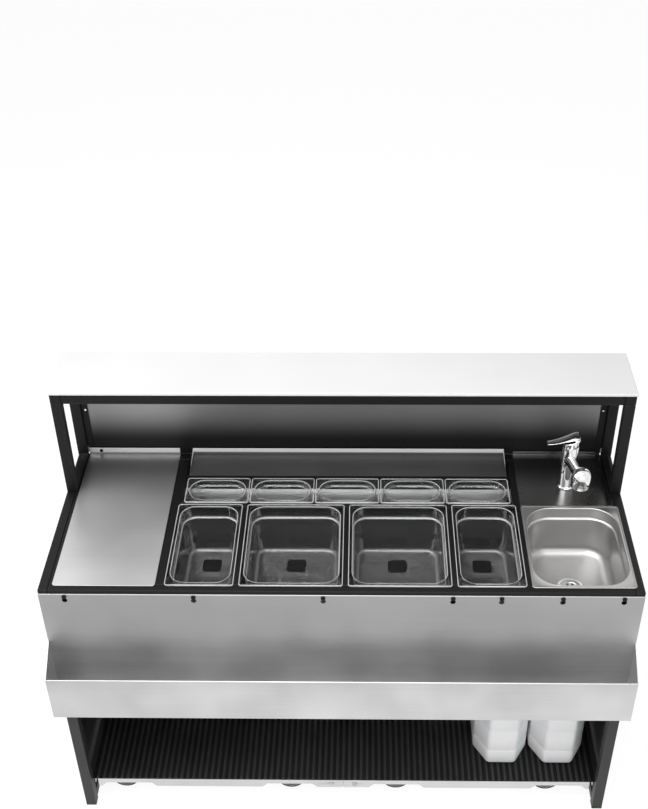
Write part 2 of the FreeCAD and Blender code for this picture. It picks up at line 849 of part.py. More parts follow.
def half_tray():
    """The right half: a flat sheet with turned-down lips, cut back over the castors."""
    x_span = (tray_middle_gap, tray_end_x)
    y_span = (tray_front_y, tray_back_y)
    deck = box(x_span, y_span, (tray_underside, tray_top))
    slope = tray_lip - tray_shallow_lip
    deep = tray_top - tray_lip
    shallow = tray_top - tray_shallow_lip
    outline = [(x_span[0], tray_top), (x_span[0], deep)]
    for middle in (rigid_castor_x, swivel_castor_x):
        half_cut = tray_cutout_width / 2
        outline += [
            (middle - half_cut - slope, deep),
            (middle - half_cut, shallow),
            (middle + half_cut, shallow),
            (min(middle + half_cut + slope, x_span[1] - tray_sheet), deep),
        ]
    outline += [(x_span[1], deep), (x_span[1], tray_top)]
    lips = [
        prism([Vec(x, y, z) for x, z in outline], axis_y * tray_sheet)
        for y in (tray_front_y, tray_back_y - tray_sheet)
    ]
    end_y = shrink(y_span, tray_sheet + link_sheet + link_nut + running_gap)
    end_z = (tray_top - tray_end_lip, tray_top)
    inner_lip = box((x_span[0], x_span[0] + tray_sheet), end_y, end_z)
    tray = deck.fuse(lips + [inner_lip])
    bolts = []
    for y in (tray_front_y, tray_back_y - tray_sheet):
        start = Vec(link_bolt_offset, y - overrun, link_z)
        bolts.append(cylinder(link_bolt_radius + bore_gap, start, axis_y, overrun * 2 + tray_sheet))
    return tray.cut(bolts).removeSplitter()


link_z = tray_top - tray_lip / 2
tray = half_tray()
save("shelf_tray_right", tray)
save("shelf_tray_left", mirrored(tray))


def link_plate(y):
    link = box(
        (-link_width / 2, link_width / 2),
        (y, y + link_sheet),
        (link_z - link_height / 2, link_z + link_height / 2),
    )
    holes = [
        cylinder(link_bolt_radius + bore_gap, Vec(x, y - overrun, link_z), axis_y, overrun * 2 + link_sheet)
        for x in (-link_bolt_offset, link_bolt_offset)
    ]
    return link.cut(holes)


def link_bolt(x, head_face, inward):
    """A bolt with a low round head on the lip and a nut behind the link plate."""
    seat = Vec(x, head_face, link_z)
    grip = tray_sheet + link_sheet
    head = cylinder(link_bolt_head, seat - inward * link_bolt_head_height, inward, link_bolt_head_height)
    shank = cylinder(link_bolt_radius, seat, inward, grip + link_nut)
    nut = cylinder(link_bolt_head, seat + inward * grip, inward, link_nut)
    return head.fuse([shank, nut])


save(
    "tray_link_plates",
    link_plate(tray_front_y + tray_sheet),
    link_plate(tray_back_y - tray_sheet - link_sheet),
)
save(
    "tray_bolts",
    *[link_bolt(x, tray_front_y, axis_y) for x in (-link_bolt_offset, link_bolt_offset)],
    *[link_bolt(x, tray_back_y, -axis_y) for x in (-link_bolt_offset, link_bolt_offset)],
)


def corner_bracket(y):
    """An angle under the tray's end, with its upright leaf on the side frame's bearer."""
    y_span = (y, y + bracket_width)
    leaf = box((leg_inner_x - bracket_reach, leg_inner_x), y_span, (bearer_top, tray_underside))
    upright_x = (leg_inner_x - bracket_sheet, leg_inner_x)
    upright = box(upright_x, y_span, (bearer_top - tube_side, tray_underside))
    return leaf.fuse(upright).removeSplitter()


brackets = [
    corner_bracket(front_y + tube_side),
    corner_bracket(back_y - tube_side - bracket_width),
]
save("corner_brackets", *brackets, *[mirrored(bracket) for bracket in brackets])


def ribbed_mat():
    x_span = shrink((-tray_end_x, tray_end_x), mat_edge)
    base_top = tray_top + mat_base
    rib_count = int((x_span[1] - x_span[0]) // mat_pitch)
    first = -(rib_count - 1) * mat_pitch / 2
    outline = [(x_span[0], tray_top), (x_span[0], base_top)]
    for number in range(rib_count):
        middle = first + number * mat_pitch
        outline += [
            (middle - mat_rib_width / 2, base_top),
            (middle - mat_rib_width / 2, mat_top),
            (middle + mat_rib_width / 2, mat_top),
            (middle + mat_rib_width / 2, base_top),
        ]
    outline += [(x_span[1], base_top), (x_span[1], tray_top)]
    length = tray_back_y - tray_front_y - mat_edge
    return prism([Vec(x, tray_front_y, z) for x, z in outline], axis_y * length)


save("shelf_mat", ribbed_mat())


# Castors

def castor_wheel(x, y):
    """A dished hub with a tyre ring round it."""
    half = wheel_width / 2
    core = wheel_radius - tyre_thickness
    bore = axle_radius + running_gap
    rim = core - hub_dish
    web = half - hub_dish
    tread = half - tyre_shoulder
    tyre_side = wheel_radius - tyre_shoulder
    boss = hub_boss_radius
    hub_half = [(bore, half), (boss, half), (boss, web), (rim, web), (rim, half), (core, half)]
    tyre_half = [(core, half), (tyre_side, half), (wheel_radius, tread)]
    hub, tyre = [
        points + [(radius, -offset) for radius, offset in reversed(points)]
        for points in (hub_half, tyre_half)
    ]
    rings = []
    for profile in (hub, tyre):
        points = [Vec(x, y + offset, axle_z + radius) for radius, offset in profile]
        wire = Part.makePolygon(points + points[:1])
        rings.append(Part.Face(wire).revolve(Vec(x, y, axle_z), axis_y, 360))
    return rings


def fork_cheek(stem_x, axle_x, y, top):
    """One side plate, from the crown down to a round foot about the axle."""
    half_top = fork_top_width / 2
    waist = axle_z + fork_foot_radius
    outline = [
        Vec(stem_x - half_top, y, top),
        Vec(stem_x + half_top, y, top),
        Vec(stem_x + half_top, y, (top + waist) / 2),
        Vec(axle_x + fork_foot_radius, y, axle_z),
        Vec(axle_x - fork_foot_radius, y, axle_z),
        Vec(stem_x - half_top, y, (top + waist) / 2),
    ]
    cheek = prism(outline, axis_y * fork_sheet)
    return cheek.fuse(cylinder(fork_foot_radius, Vec(axle_x, y, axle_z), axis_y, fork_sheet))


def fork(stem_x, axle_x, y, crown_bottom, crown_top, bore_radius):
    cheeks = [
        fork_cheek(stem_x, axle_x, y - fork_inner - fork_sheet, crown_bottom),
        fork_cheek(stem_x, axle_x, y + fork_inner, crown_bottom),
    ]
    half_top = fork_top_width / 2
    reach = fork_inner + fork_sheet
    crown = box((stem_x - half_top, stem_x + half_top), (y - reach, y + reach), (crown_bottom, crown_top))
    body = crown.fuse(cheeks)
    cuts = []
    if bore_radius:
        start = Vec(stem_x, y, crown_bottom - overrun)
        cuts.append(cylinder(bore_radius, start, axis_z, crown_top - crown_bottom + overrun * 2))
    axle_start = Vec(axle_x, y - reach - overrun, axle_z)
    cuts.append(cylinder(axle_radius, axle_start, axis_y, 2 * (reach + overrun)))
    return body.cut(cuts).removeSplitter()


def axle(x, y):
    reach = fork_inner + fork_sheet
    start = Vec(x, y - reach, axle_z)
    pin = cylinder(axle_radius, start, axis_y, 2 * reach)
    near = cylinder(axle_head_radius, start - axis_y * axle_head, axis_y, axle_head)
    far = cylinder(axle_head_radius, start + axis_y * 2 * reach, axis_y, axle_head)
    return pin.fuse([near, far])


plate_bottom = tray_underside - castor_plate
kingpin_head_bottom = axle_z + wheel_radius + castor_plate
crown_bottom = kingpin_head_bottom + kingpin_head + running_gap
crown_top = crown_bottom + fork_crown


def castor_top_plate(x, y):
    return box(
        (x - castor_plate_length / 2, x + castor_plate_length / 2),
        (y - castor_plate_width / 2, y + castor_plate_width / 2),
        (plate_bottom, tray_underside),
    )


def swivel_plate(x, y):
    """A bolted plate with a ball race under it and a headed kingpin through the fork's crown."""
    race_bottom = crown_top + running_gap
    race = cylinder(race_radius, Vec(x, y, race_bottom), axis_z, plate_bottom - race_bottom)
    foot = Vec(x, y, kingpin_head_bottom)
    pin = cylinder(kingpin_radius, foot, axis_z, plate_bottom - kingpin_head_bottom)
    head = cylinder(kingpin_head_radius, foot, axis_z, kingpin_head)
    return castor_top_plate(x, y).fuse([race, pin, head]).removeSplitter()


def rigid_fork(x, y):
    shape = fork(x, x, y, plate_bottom, tray_underside, 0)
    return shape.fuse(castor_top_plate(x, y)).removeSplitter()


rigid_pieces = []
swivel_plates = []
for row, y in zip(("front", "rear"), castor_rows):
    for side, sign in (("left", -1), ("right", 1)):
        rigid_x = sign * rigid_castor_x
        rigid_pieces += [rigid_fork(rigid_x, y), axle(rigid_x, y)]
        save(f"wheel_rigid_{row}_{side}", *castor_wheel(rigid_x, y))
        stem_x = sign * swivel_castor_x
        axle_x = stem_x - castor_trail
        swivel_plates.append(swivel_plate(stem_x, y))
        bore = kingpin_radius + running_gap
        swivel_fork = fork(stem_x, axle_x, y, crown_bottom, crown_top, bore)
        save(f"castor_fork_{row}_{side}", swivel_fork, axle(axle_x, y))
        save(f"wheel_swivel_{row}_{side}", *castor_wheel(axle_x, y))
save("rigid_castor_forks", *rigid_pieces)
save("swivel_castor_plates", *swivel_plates)


# Lower back panel

save(
    "lower_back_panel",
    box(
        shrink((-leg_inner_x, leg_inner_x), panel_side_gap),
        (panel_y, panel_y + back_sheet),
        (lower_panel_bottom, worktop_height - running_gap),
    ),
)


# Upper counter

def counter_side():
    """The right-hand posts, their spigots and the panel strip on the rear post."""
    post_x = (leg_inner_x, half_bar)
    post_z = (post_bottom, top_rail_bottom)
    pieces = []
    for post in (front_post, rear_post):
        pieces.append(hollow(post_x, post, post_z, "z"))
        plug_z = (post_bottom, post_bottom + spigot_length)
        plug = box(shrink(post_x, tube_wall), shrink(post, tube_wall), plug_z)
        x_span, y_span = spigot_spans(post, 0)
        spigot = box(x_span, y_span, (worktop_height - spigot_length, post_bottom))
        pieces.append(plug.fuse(spigot))
    pieces.append(
        box(
            (leg_inner_x - strip_width, leg_inner_x),
            (panel_y - strip_sheet, panel_y),
            (worktop_height + strip_clear_height, top_rail_bottom),
        )
    )
    pieces.append(hollow(post_x, (post_front, back_y), (top_rail_bottom, board_bottom), "y"))
    return pieces


counter_pieces = counter_side()
counter_pieces += [mirrored(piece) for piece in counter_pieces]
rail_x = (-leg_inner_x, leg_inner_x)
rail_span_z = (top_rail_bottom, board_bottom)
counter_pieces.append(hollow(rail_x, front_post, rail_span_z, "x"))
counter_pieces.append(hollow(rail_x, rear_post, rail_span_z, "x"))
save("counter_frame", *counter_pieces)


def gusset():
    """A low foot plate between the posts, sloping down to the rear post."""
    x = leg_inner_x
    front, back = front_post[1], rear_post[0]
    slope_start = front + (back - front) * gusset_flat_share
    outline = [
        Vec(x, front, post_bottom),
        Vec(x, back, post_bottom),
        Vec(x, back, post_bottom + gusset_height * gusset_tail_share),
        Vec(x, slope_start, post_bottom + gusset_height),
        Vec(x, front, post_bottom + gusset_height),
    ]
    return prism(outline, axis_x * gusset_sheet)


save("counter_gussets", gusset(), mirrored(gusset()))

board = box(
    (-half_bar, half_bar),
    (post_front - counter_overhang, back_y),
    (board_bottom, counter_height),
)
save("counter_top", board.makeFillet(board_round, board.Edges))
save(
    "upper_back_panel",
    box(
        shrink(rail_x, panel_side_gap),
        (panel_y, panel_y + back_sheet),
        (post_bottom, top_rail_bottom),
    ),
)


# Jerrycans

def can_solid(x, y, inset):
    """The can's body with cut-off front corners and rounded edges, drawn in by a wall."""
    left, right = shrink((x, x + can_width), inset)
    front, back = shrink((y, y + can_depth), inset)
    bottom, top = shrink((can_bottom, can_top), inset)
    outline = [
        Vec(left + can_chamfer_side, front, bottom),
        Vec(right - can_chamfer_side, front, bottom),
        Vec(right, front + can_chamfer_front, bottom),
        Vec(right, back, bottom),
        Vec(left, back, bottom),
        Vec(left, front + can_chamfer_front, bottom),
    ]
    solid = prism(outline, axis_z * (top - bottom))
    return solid.makeFillet(can_round - inset, solid.Edges)


def can_neck_place(x, y):
    return Vec(x + can_width / 2, y + can_neck_from_front, can_top)


def jerrycan(x, y):
    neck_place = can_neck_place(x, y)
    neck_base = neck_place - axis_z * can_wall
    neck = cylinder(can_neck_radius, neck_base, axis_z, can_wall + can_neck_height)
    bore_radius = can_neck_radius - can_neck_wall
    bore_start = neck_base - axis_z * overrun
    bore = cylinder(bore_radius, bore_start, axis_z, overrun * 2 + can_wall + can_neck_height)
    middle = x + can_width / 2
    handle_x = (middle - can_handle_width / 2, middle + can_handle_width / 2)
    handle_end = y + can_depth - can_handle_from_rear
    handle_y = (handle_end - can_handle_length, handle_end)
    handle = box(handle_x, handle_y, (can_top - can_wall, can_top + can_handle_height))
    crest = [edge for edge in handle.Edges if edge.BoundBox.ZMin > can_top]
    handle = handle.makeFillet(can_handle_round, crest)
    grip_gap = box(
        (handle_x[0] - overrun, handle_x[1] + overrun),
        shrink(handle_y, can_handle_bar),
        (can_top, can_top + can_handle_height - can_handle_bar),
    )
    outside = can_solid(x, y, 0).fuse([neck, handle.cut(grip_gap)])
    return outside.cut(can_solid(x, y, can_wall)).cut(bore)


def can_cap(x, y):
    inner = can_neck_radius + running_gap
    outer = inner + can_cap_wall
    bottom = can_neck_place(x, y) + axis_z * running_gap
    body = cylinder(outer, bottom, axis_z, can_neck_height + can_cap_wall)
    return body.cut(cylinder(inner, bottom - axis_z * overrun, axis_z, overrun + can_neck_height))


can_y = front_y + can_from_front
can_right_x = tray_end_x - can_side_gap - can_width
can_left_x = can_right_x - can_spacing - can_width
for name, x in (("fresh_water", can_left_x), ("waste_water", can_right_x)):
    save(f"{name}_can", jerrycan(x, can_y))
    save(f"{name}_cap", can_cap(x, can_y))
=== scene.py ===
import json
import math
import bmesh
import bpy
from mathutils import Matrix, Vector


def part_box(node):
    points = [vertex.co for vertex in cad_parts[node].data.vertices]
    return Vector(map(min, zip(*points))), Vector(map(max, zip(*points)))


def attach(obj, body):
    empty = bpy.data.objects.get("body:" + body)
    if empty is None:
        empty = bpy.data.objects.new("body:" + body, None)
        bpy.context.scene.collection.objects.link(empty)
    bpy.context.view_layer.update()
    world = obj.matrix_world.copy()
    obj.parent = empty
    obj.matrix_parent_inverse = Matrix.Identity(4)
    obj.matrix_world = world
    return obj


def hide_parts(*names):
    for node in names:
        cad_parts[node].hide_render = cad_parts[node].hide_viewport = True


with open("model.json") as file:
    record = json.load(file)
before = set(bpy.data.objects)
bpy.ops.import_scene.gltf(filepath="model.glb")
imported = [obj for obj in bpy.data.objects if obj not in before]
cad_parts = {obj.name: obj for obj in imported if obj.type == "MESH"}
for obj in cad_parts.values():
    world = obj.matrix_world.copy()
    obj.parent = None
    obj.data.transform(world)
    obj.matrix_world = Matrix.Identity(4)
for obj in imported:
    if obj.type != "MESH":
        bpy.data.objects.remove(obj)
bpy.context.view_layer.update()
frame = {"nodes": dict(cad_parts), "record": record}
record = frame["record"]
bodyOfNode = {node: body for body, nodes in record["behaviour"]["bodies"].items() for node in nodes}
slotOfNode = {part["node"]: part["material_slot"] for part in record["subparts"]}
axisX, axisY, axisZ = Vector((1, 0, 0)), Vector((0, 1, 0)), Vector((0, 0, 1))
quarterTurn = math.pi / 2
mm = 0.001


# Finishes: a fine and a broad noise drive colour, roughness and bump

noiseUse = {"fineDetail": 4, "broadDetail": 2, "tone": (0.32, 0.68), "rough": (0.3, 0.7), "broadShare": 0.5}


def triple(value):
    return value if isinstance(value, tuple) else (value, value, value)


def setInputs(tree, node, inputs):
    # an input that is given a socket is linked to it, any other is set to the value
    for key, value in inputs.items():
        if isinstance(value, bpy.types.NodeSocket):
            tree.links.new(value, node.inputs[key])
        else:
            node.inputs[key].default_value = value


def addNode(tree, kind, inputs=None, **settings):
    node = tree.nodes.new(kind)
    for key, value in settings.items():
        setattr(node, key, value)
    setInputs(tree, node, inputs or {})
    return node


def noiseField(tree, stretch, detail):
    place = addNode(tree, "ShaderNodeTexCoord").outputs["Object"]
    mapping = addNode(tree, "ShaderNodeMapping", {"Vector": place, "Scale": triple(stretch)})
    noise = addNode(tree, "ShaderNodeTexNoise", {
        "Vector": mapping.outputs["Vector"], "Scale": 1, "Detail": detail,
    })
    return noise.outputs["Fac"]


def toneRamp(tree, field, tones, ends=(0, 1)):
    ramp = addNode(tree, "ShaderNodeValToRGB", {"Fac": field})
    for index in range(2):
        element = ramp.color_ramp.elements[index]
        element.position = ends[index]
        element.color = (*triple(tones[index]), 1)
    return ramp.outputs["Color"]


def fadedColor(tree, color, field, fade):
    # the tone changes along one axis of the piece
    place = addNode(tree, "ShaderNodeTexCoord").outputs["Object"]
    parts = addNode(tree, "ShaderNodeSeparateXYZ", {"Vector": place})
    share = addNode(tree, "ShaderNodeMapRange", {
        "Value": parts.outputs[fade.get("axis", "Z")], "From Min": fade["low"], "From Max": fade["high"],
    }, interpolation_type="SMOOTHSTEP")
    mix = addNode(tree, "ShaderNodeMix", {"Factor": share.outputs["Result"]}, data_type="RGBA")
    colors = [socket for socket in mix.inputs if socket.type == "RGBA"]
    tree.links.new(color, colors[0])
    tree.links.new(toneRamp(tree, field, fade["tone"]), colors[1])
    return [socket for socket in mix.outputs if socket.type == "RGBA"][0]


def newMaterial(name):
    material = bpy.data.materials.new(name)
    material.use_nodes = True
    return material, material.node_tree, material.node_tree.nodes["Principled BSDF"]


def surfaceFinish(name, look):
    material, tree, shader = newMaterial(name)
    fine = noiseField(tree, look["fine"], noiseUse["fineDetail"])
    broad = noiseField(tree, look["broad"], noiseUse["broadDetail"])
    broadShare = look.get("broadShare", noiseUse["broadShare"])
    field = addNode(tree, "ShaderNodeMix", {"Factor": broadShare, "A": fine, "B": broad}).outputs["Result"]
    color = toneRamp(tree, field, look["tone"], noiseUse["tone"])
    for fade in look.get("fades", ()):
        color = fadedColor(tree, color, field, fade)
    spread = addNode(tree, "ShaderNodeMapRange", {
        "Value": field, "From Min": noiseUse["rough"][0], "From Max": noiseUse["rough"][1],
        "To Min": look["rough"][0], "To Max": look["rough"][1],
    })
    strength, distance = look["bump"]
    bump = addNode(tree, "ShaderNodeBump", {"Height": fine, "Strength": strength, "Distance": distance})
    setInputs(tree, shader, {
        **look.get("shader", {}), "Base Color": color, "Roughness": spread.outputs["Result"],
        "Normal": bump.outputs["Normal"],
    })
    if "edgeShare" in look:
        # painted highlight: the edgeShine mask makes rims, bead and floor bend less clear, so the pan's white
        # shows there as bright lines; the walls stay clear
        edge = addNode(tree, "ShaderNodeAttribute", attribute_name="edgeShine").outputs["Fac"]
        clear = addNode(tree, "ShaderNodeMath", {
            0: edge, 1: -look["edgeShare"], 2: 1,
        }, operation="MULTIPLY_ADD")
        setInputs(tree, shader, {"Transmission Weight": clear.outputs["Value"]})
    return material


# A tone is one grey or a colour, dark and light. Fades are in metres of the part's frame; most fades paint
# light and shade into the tone

metal = {"Metallic": 1.0}
acrossWidth = (3, 1400, 1400)
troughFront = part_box("pan_trough")[0].y
finishes = {
    "black_frame": {
        "tone": (0.034, 0.048), "rough": (0.38, 0.52), "fine": 900, "broad": 7, "bump": (0.12, 0.0003),
        # painted shade: the frame's tone falls to near black between 0.3 m and 0.75 m up
        "shader": {"Specular IOR Level": 0.2}, "fades": [{"low": 0.3, "high": 0.75, "tone": (0.003, 0.007)}],
    },
    "infill_black": {
        "tone": (0.01, 0.018), "rough": (0.4, 0.55), "fine": 1100, "broad": 5, "bump": (0.1, 0.0002),
    },
    "dark_panel": {
        "tone": (0.024, 0.032), "rough": (0.45, 0.55), "fine": acrossWidth, "broad": 3, "broadShare": 0.4,
        "bump": (0.1, 0.0001), "shader": metal,
        # painted light: the panel is lighter towards its top edge, from 0.925 m to 1.045 m up; the second
        # fade keeps the rear face plain dark, without the painted light
        "fades": [
            {"low": 0.925, "high": 1.045, "tone": (0.26, 0.34)},
            {"axis": "Y", "low": 0.3304, "high": 0.3308, "tone": (0.018, 0.026)},
        ],
    },
    "rail_stainless": {
        "tone": (0.46, 0.68), "rough": (0.44, 0.56), "fine": acrossWidth, "broad": (5, 4, 4),
        "broadShare": 0.62, "bump": (0.08, 0.0001), "shader": metal,
        # painted shade: the rail darkens between 0.58 m and 0.82 m up
        "fades": [{"low": 0.58, "high": 0.82, "tone": (0.27, 0.45)}],
    },
    "trough_stainless": {
        # painted shade: the front face has a near-black tone; the sheet behind it fades to the stainless tone
        "tone": (0.02, 0.03), "rough": (0.35, 0.45), "fine": acrossWidth, "broad": (4, 5, 5),
        "bump": (0.06, 0.0001), "shader": metal,
        "fades": [{
            "axis": "Y", "low": troughFront + 0.8 * mm, "high": troughFront + 1.4 * mm, "tone": (0.72, 0.82),
        }],
    },
    "hem_stainless": {
        "tone": (0.6, 0.68), "rough": (0.3, 0.4), "fine": acrossWidth, "broad": (4, 6, 6),
        "bump": (0.05, 0.0001), "shader": metal,
    },
    "shelf_stainless": {
        # painted shade: the shelf is dark under the counter; painted highlight: its top edge, from 0.886 m to
        # 0.892 m up, is light
        "tone": (0.11, 0.16), "rough": (0.6, 0.68), "fine": acrossWidth, "broad": (4, 5, 5),
        "broadShare": 0.55, "bump": (0.06, 0.0001), "shader": metal,
        "fades": [{"low": 0.886, "high": 0.892, "tone": (0.84, 0.9)}],
    },
    "plate_stainless": {
        "tone": (0.58, 0.68), "rough": (0.42, 0.5), "fine": acrossWidth, "broad": (4, 5, 5),
        "broadShare": 0.55, "bump": (0.06, 0.0001), "shader": metal,
        # painted shade: the plate darkens towards its rear, from 0.08 m to 0.3 m back; painted highlight: the
        # top edge of its upstand, from 0.884 m up, is light
        "fades": [
            {"axis": "Y", "low": 0.08, "high": 0.3, "tone": (0.2, 0.27)},
            {"low": 0.884, "high": 0.89, "tone": (0.84, 0.9)},
        ],
    },
    "tray_stainless": {
        "tone": (0.55, 0.68), "rough": (0.25, 0.4), "fine": acrossWidth, "broad": 6,
        "bump": (0.1, 0.0001), "shader": metal,
    },
    "sink_stainless": {
        "tone": ((0.43, 0.425, 0.42), (0.49, 0.485, 0.48)), "rough": (0.36, 0.42), "fine": 700, "broad": 6,
        "bump": (0.02, 0.0001), "shader": metal,
    },
    "deck_black": {
        "tone": (0.15, 0.2), "rough": (0.2, 0.3), "fine": (300, 900, 300), "broad": 10,
        "bump": (0.02, 0.0001), "shader": metal,
    },
    "chrome": {
        "tone": (0.76, 0.84), "rough": (0.04, 0.09), "fine": 120, "broad": 30,
        "bump": (0.01, 0.0001), "shader": metal,
    },
    "zinc_steel": {
        "tone": ((0.42, 0.42, 0.4), (0.62, 0.62, 0.61)), "rough": (0.28, 0.48), "fine": 240, "broad": 45,
        "bump": (0.08, 0.0002), "shader": metal,
    },
    "clear_pan": {
        "tone": ((0.95, 0.955, 0.955), 0.98), "rough": (0.03, 0.04), "fine": 160, "broad": 20,
        # edgeShare: how far the painted highlight turns the edges from clear to white
        "bump": (0, 0.0002), "shader": {"IOR": 1.5}, "edgeShare": 0.7,
    },
    "white_board": {
        "tone": ((0.66, 0.66, 0.665), (0.71, 0.71, 0.713)), "rough": (0.3, 0.42), "fine": 700, "broad": 4,
        "bump": (0.03, 0.0001),
    },
    "black_rubber": {
        "tone": (0.005, 0.01), "rough": (0.55, 0.72), "fine": 420, "broad": 12, "bump": (0.25, 0.0004),
        "shader": {"Specular IOR Level": 0.2},
    },
    # painted highlight: the ribs get a lighter, glossier rubber than the sheet under them
    "rib_rubber": {
        "tone": (0.016, 0.03), "rough": (0.45, 0.6), "fine": 420, "broad": 12, "bump": (0.2, 0.0003),
    },
    "drain_satin": {
        "tone": (0.6, 0.7), "rough": (0.2, 0.3), "fine": 400, "broad": 40,
        "bump": (0.03, 0.0001), "shader": metal,
    },
    "castor_rubber": {
        "tone": (0.02, 0.04), "rough": (0.45, 0.65), "fine": 380, "broad": 30, "bump": (0.2, 0.0003),
    },
    "black_plastic": {
        "tone": (0.012, 0.024), "rough": (0.4, 0.55), "fine": 800, "broad": 30, "bump": (0.1, 0.0002),
    },
    "white_can": {
        "tone": ((0.74, 0.745, 0.75), (0.81, 0.815, 0.82)), "rough": (0.36, 0.52), "fine": 260, "broad": 9,
        "bump": (0.08, 0.0004), "shader": {"Subsurface Weight": 0.2, "Subsurface Scale": 0.01},
    },
    "white_cap": {
        "tone": ((0.72, 0.73, 0.73), 0.82), "rough": (0.3, 0.45), "fine": 500, "broad": 40,
        "bump": (0.05, 0.0002),
    },
    "hub_grey": {"tone": (0.2, 0.3), "rough": (0.4, 0.55), "fine": 600, "broad": 40, "bump": (0.06, 0.0002)},
    "floor_patch": {
        "tone": (0.008, 0.014), "rough": (0.5, 0.65), "fine": 300, "broad": 60, "bump": (0.05, 0.0001),
        "shader": {"Specular IOR Level": 0.12},
    },
    "screw_black": {
        "tone": (0.004, 0.008), "rough": (0.5, 0.6), "fine": 500, "broad": 60, "bump": (0.05, 0.0001),
        "shader": {"Specular IOR Level": 0.15},
    },
}
materials = {name: surfaceFinish(name, look) for name, look in finishes.items()}
print("finishes:", len(materials))


# Mesh helpers

edgeForm = {
    "flatAngle": math.radians(1), "bevelAngle": math.radians(38), "fineWidth": 1 * mm, "wideFace": 8 * mm,
    "sideShare": 0.48, "thinnest": 0.01 * mm,
}


def newObject(name, data):
    made = bpy.data.objects.new(name, data)
    bpy.context.scene.collection.objects.link(made)
    return made


def evaluatedMesh(holder):
    mesh = bpy.data.meshes.new_from_object(holder.evaluated_get(bpy.context.evaluated_depsgraph_get()))
    bpy.data.objects.remove(holder)
    return mesh


def flattenWideFaces(mesh, width):
    # a wide face keeps its own normal, so that its edges don't shade across it
    for polygon in mesh.polygons:
        corners = [mesh.vertices[index].co for index in polygon.vertices]
        girth = sum((end - start).length for start, end in zip(corners, corners[1:] + corners[:1]))
        polygon.use_smooth = 2 * polygon.area < width * girth


def placePiece(name, mesh, slot, nodes=(), body=None, sharp=35, finish=None, flatWidth=None):
    mesh.materials.clear()
    mesh.materials.append(materials[finish or slot])
    mesh.shade_smooth()
    mesh.set_sharp_from_angle(angle=math.radians(sharp))
    if flatWidth is not None:
        flattenWideFaces(mesh, flatWidth)
    piece = newObject(name, mesh)
    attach(piece, body or bodyOfNode[nodes[0]])
    if nodes:
        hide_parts(*nodes)


def dressNode(node, mesh, **look):
    placePiece(node + "_dressed", mesh, slotOfNode[node], [node], **look)


def addDetail(name, mesh, node, finish):
    placePiece(name, mesh, slotOfNode[node], body=bodyOfNode[node], finish=finish)


def meshFrom(bm, name):
    bmesh.ops.recalc_face_normals(bm, faces=bm.faces)
    mesh = bpy.data.meshes.new(name)
    bm.to_mesh(mesh)
    bm.free()
    return mesh


def solidsOf(node):
    # a shell is whole once every edge has been met twice
    mesh = frame["nodes"][node].data
    points = [tuple(round(value, 6) for value in vertex.co) for vertex in mesh.vertices]
    shells, shell, openEdges = [], [], set()
    for polygon in mesh.polygons:
        corners = [points[index] for index in polygon.vertices]
        shell.append(corners)
        for start, end in zip(corners, corners[1:] + corners[:1]):
            openEdges ^= {frozenset((start, end))}
        if not openEdges:
            shells.append(shell)
            shell = []
    return shells


def solidMesh(shell):
    bm = bmesh.new()
    made = {}
    for corners in shell:
        for point in corners:
            if point not in made:
                made[point] = bm.verts.new(point)
        vertices = [made[point] for point in corners]
        if len(set(vertices)) == len(vertices):
            bm.faces.new(vertices)
    return bm


def shellBox(shell):
    points = [point for corners in shell for point in corners]
    lows = Vector([min(point[axis] for point in points) for axis in range(3)])
    highs = Vector([max(point[axis] for point in points) for axis in range(3)])
    return lows, highs


def joinMeshes(meshes, name):
    bm = bmesh.new()
    for mesh in meshes:
        bm.from_mesh(mesh)
        bpy.data.meshes.remove(mesh)
    joined = bpy.data.meshes.new(name)
    bm.to_mesh(joined)
    bm.free()
    return joined


def bevelledSolid(shell, width, segments):
    bm = solidMesh(shell)
    if not width:
        return meshFrom(bm, "solid")
    bmesh.ops.dissolve_limit(bm, angle_limit=edgeForm["flatAngle"], verts=bm.verts, edges=bm.edges)
    holder = newObject("holder", meshFrom(bm, "solid"))
    bevel = holder.modifiers.new("BEVEL", "BEVEL")
    bevel.width, bevel.segments = width, segments
    bevel.limit_method, bevel.angle_limit = "ANGLE", edgeForm["bevelAngle"]
    bevel.use_clamp_overlap = False
    return evaluatedMesh(holder)


def bevelledNode(node, width, flatWidth, finish=None):
    segments = 3 if width > edgeForm["fineWidth"] else 2
    meshes = [bevelledSolid(shell, width, segments) for shell in solidsOf(node)]
    dressNode(node, joinMeshes(meshes, node), finish=finish, flatWidth=flatWidth)


def roundedBar(bm, lows, highs, radius, segments=3):
    middle, size = (lows + highs) / 2, highs - lows
    place = Matrix.Translation(middle) @ Matrix.Diagonal((*size, 1))
    corners = bmesh.ops.create_cube(bm, size=1, matrix=place)["verts"]
    edges = list({edge for corner in corners for edge in corner.link_edges})
    bmesh.ops.bevel(bm, geom=edges, offset=radius, segments=segments, profile=0.5, affect="EDGES")


def loftRings(bm, rings, closeStart=True, closeEnd=True, joined=False):
    # joined: the last ring runs on into the first, with no ends to close
    loops = [[bm.verts.new(point) for point in ring] for ring in rings]
    following = loops[1:] + loops[:1] if joined else loops[1:]
    for first, second in zip(loops, following):
        for index in range(len(first)):
            follow = (index + 1) % len(first)
            bm.faces.new((first[index], first[follow], second[follow], second[index]))
    if closeStart and not joined:
        bm.faces.new(list(reversed(loops[0])))
    if closeEnd and not joined:
        bm.faces.new(loops[-1])


def insetOutline(points, inset):
    # every side of a convex outline moves in by the inset
    count = len(points)
    moved = []
    for index in range(count):
        before, here, after = points[index - 1], points[index], points[(index + 1) % count]
        first, second = (here - before).normalized(), (after - here).normalized()
        firstIn, secondIn = Vector((-first.y, first.x)), Vector((-second.y, second.x))
        moved.append(here + (firstIn + secondIn) * inset / (1 + firstIn.dot(secondIn)))
    return moved


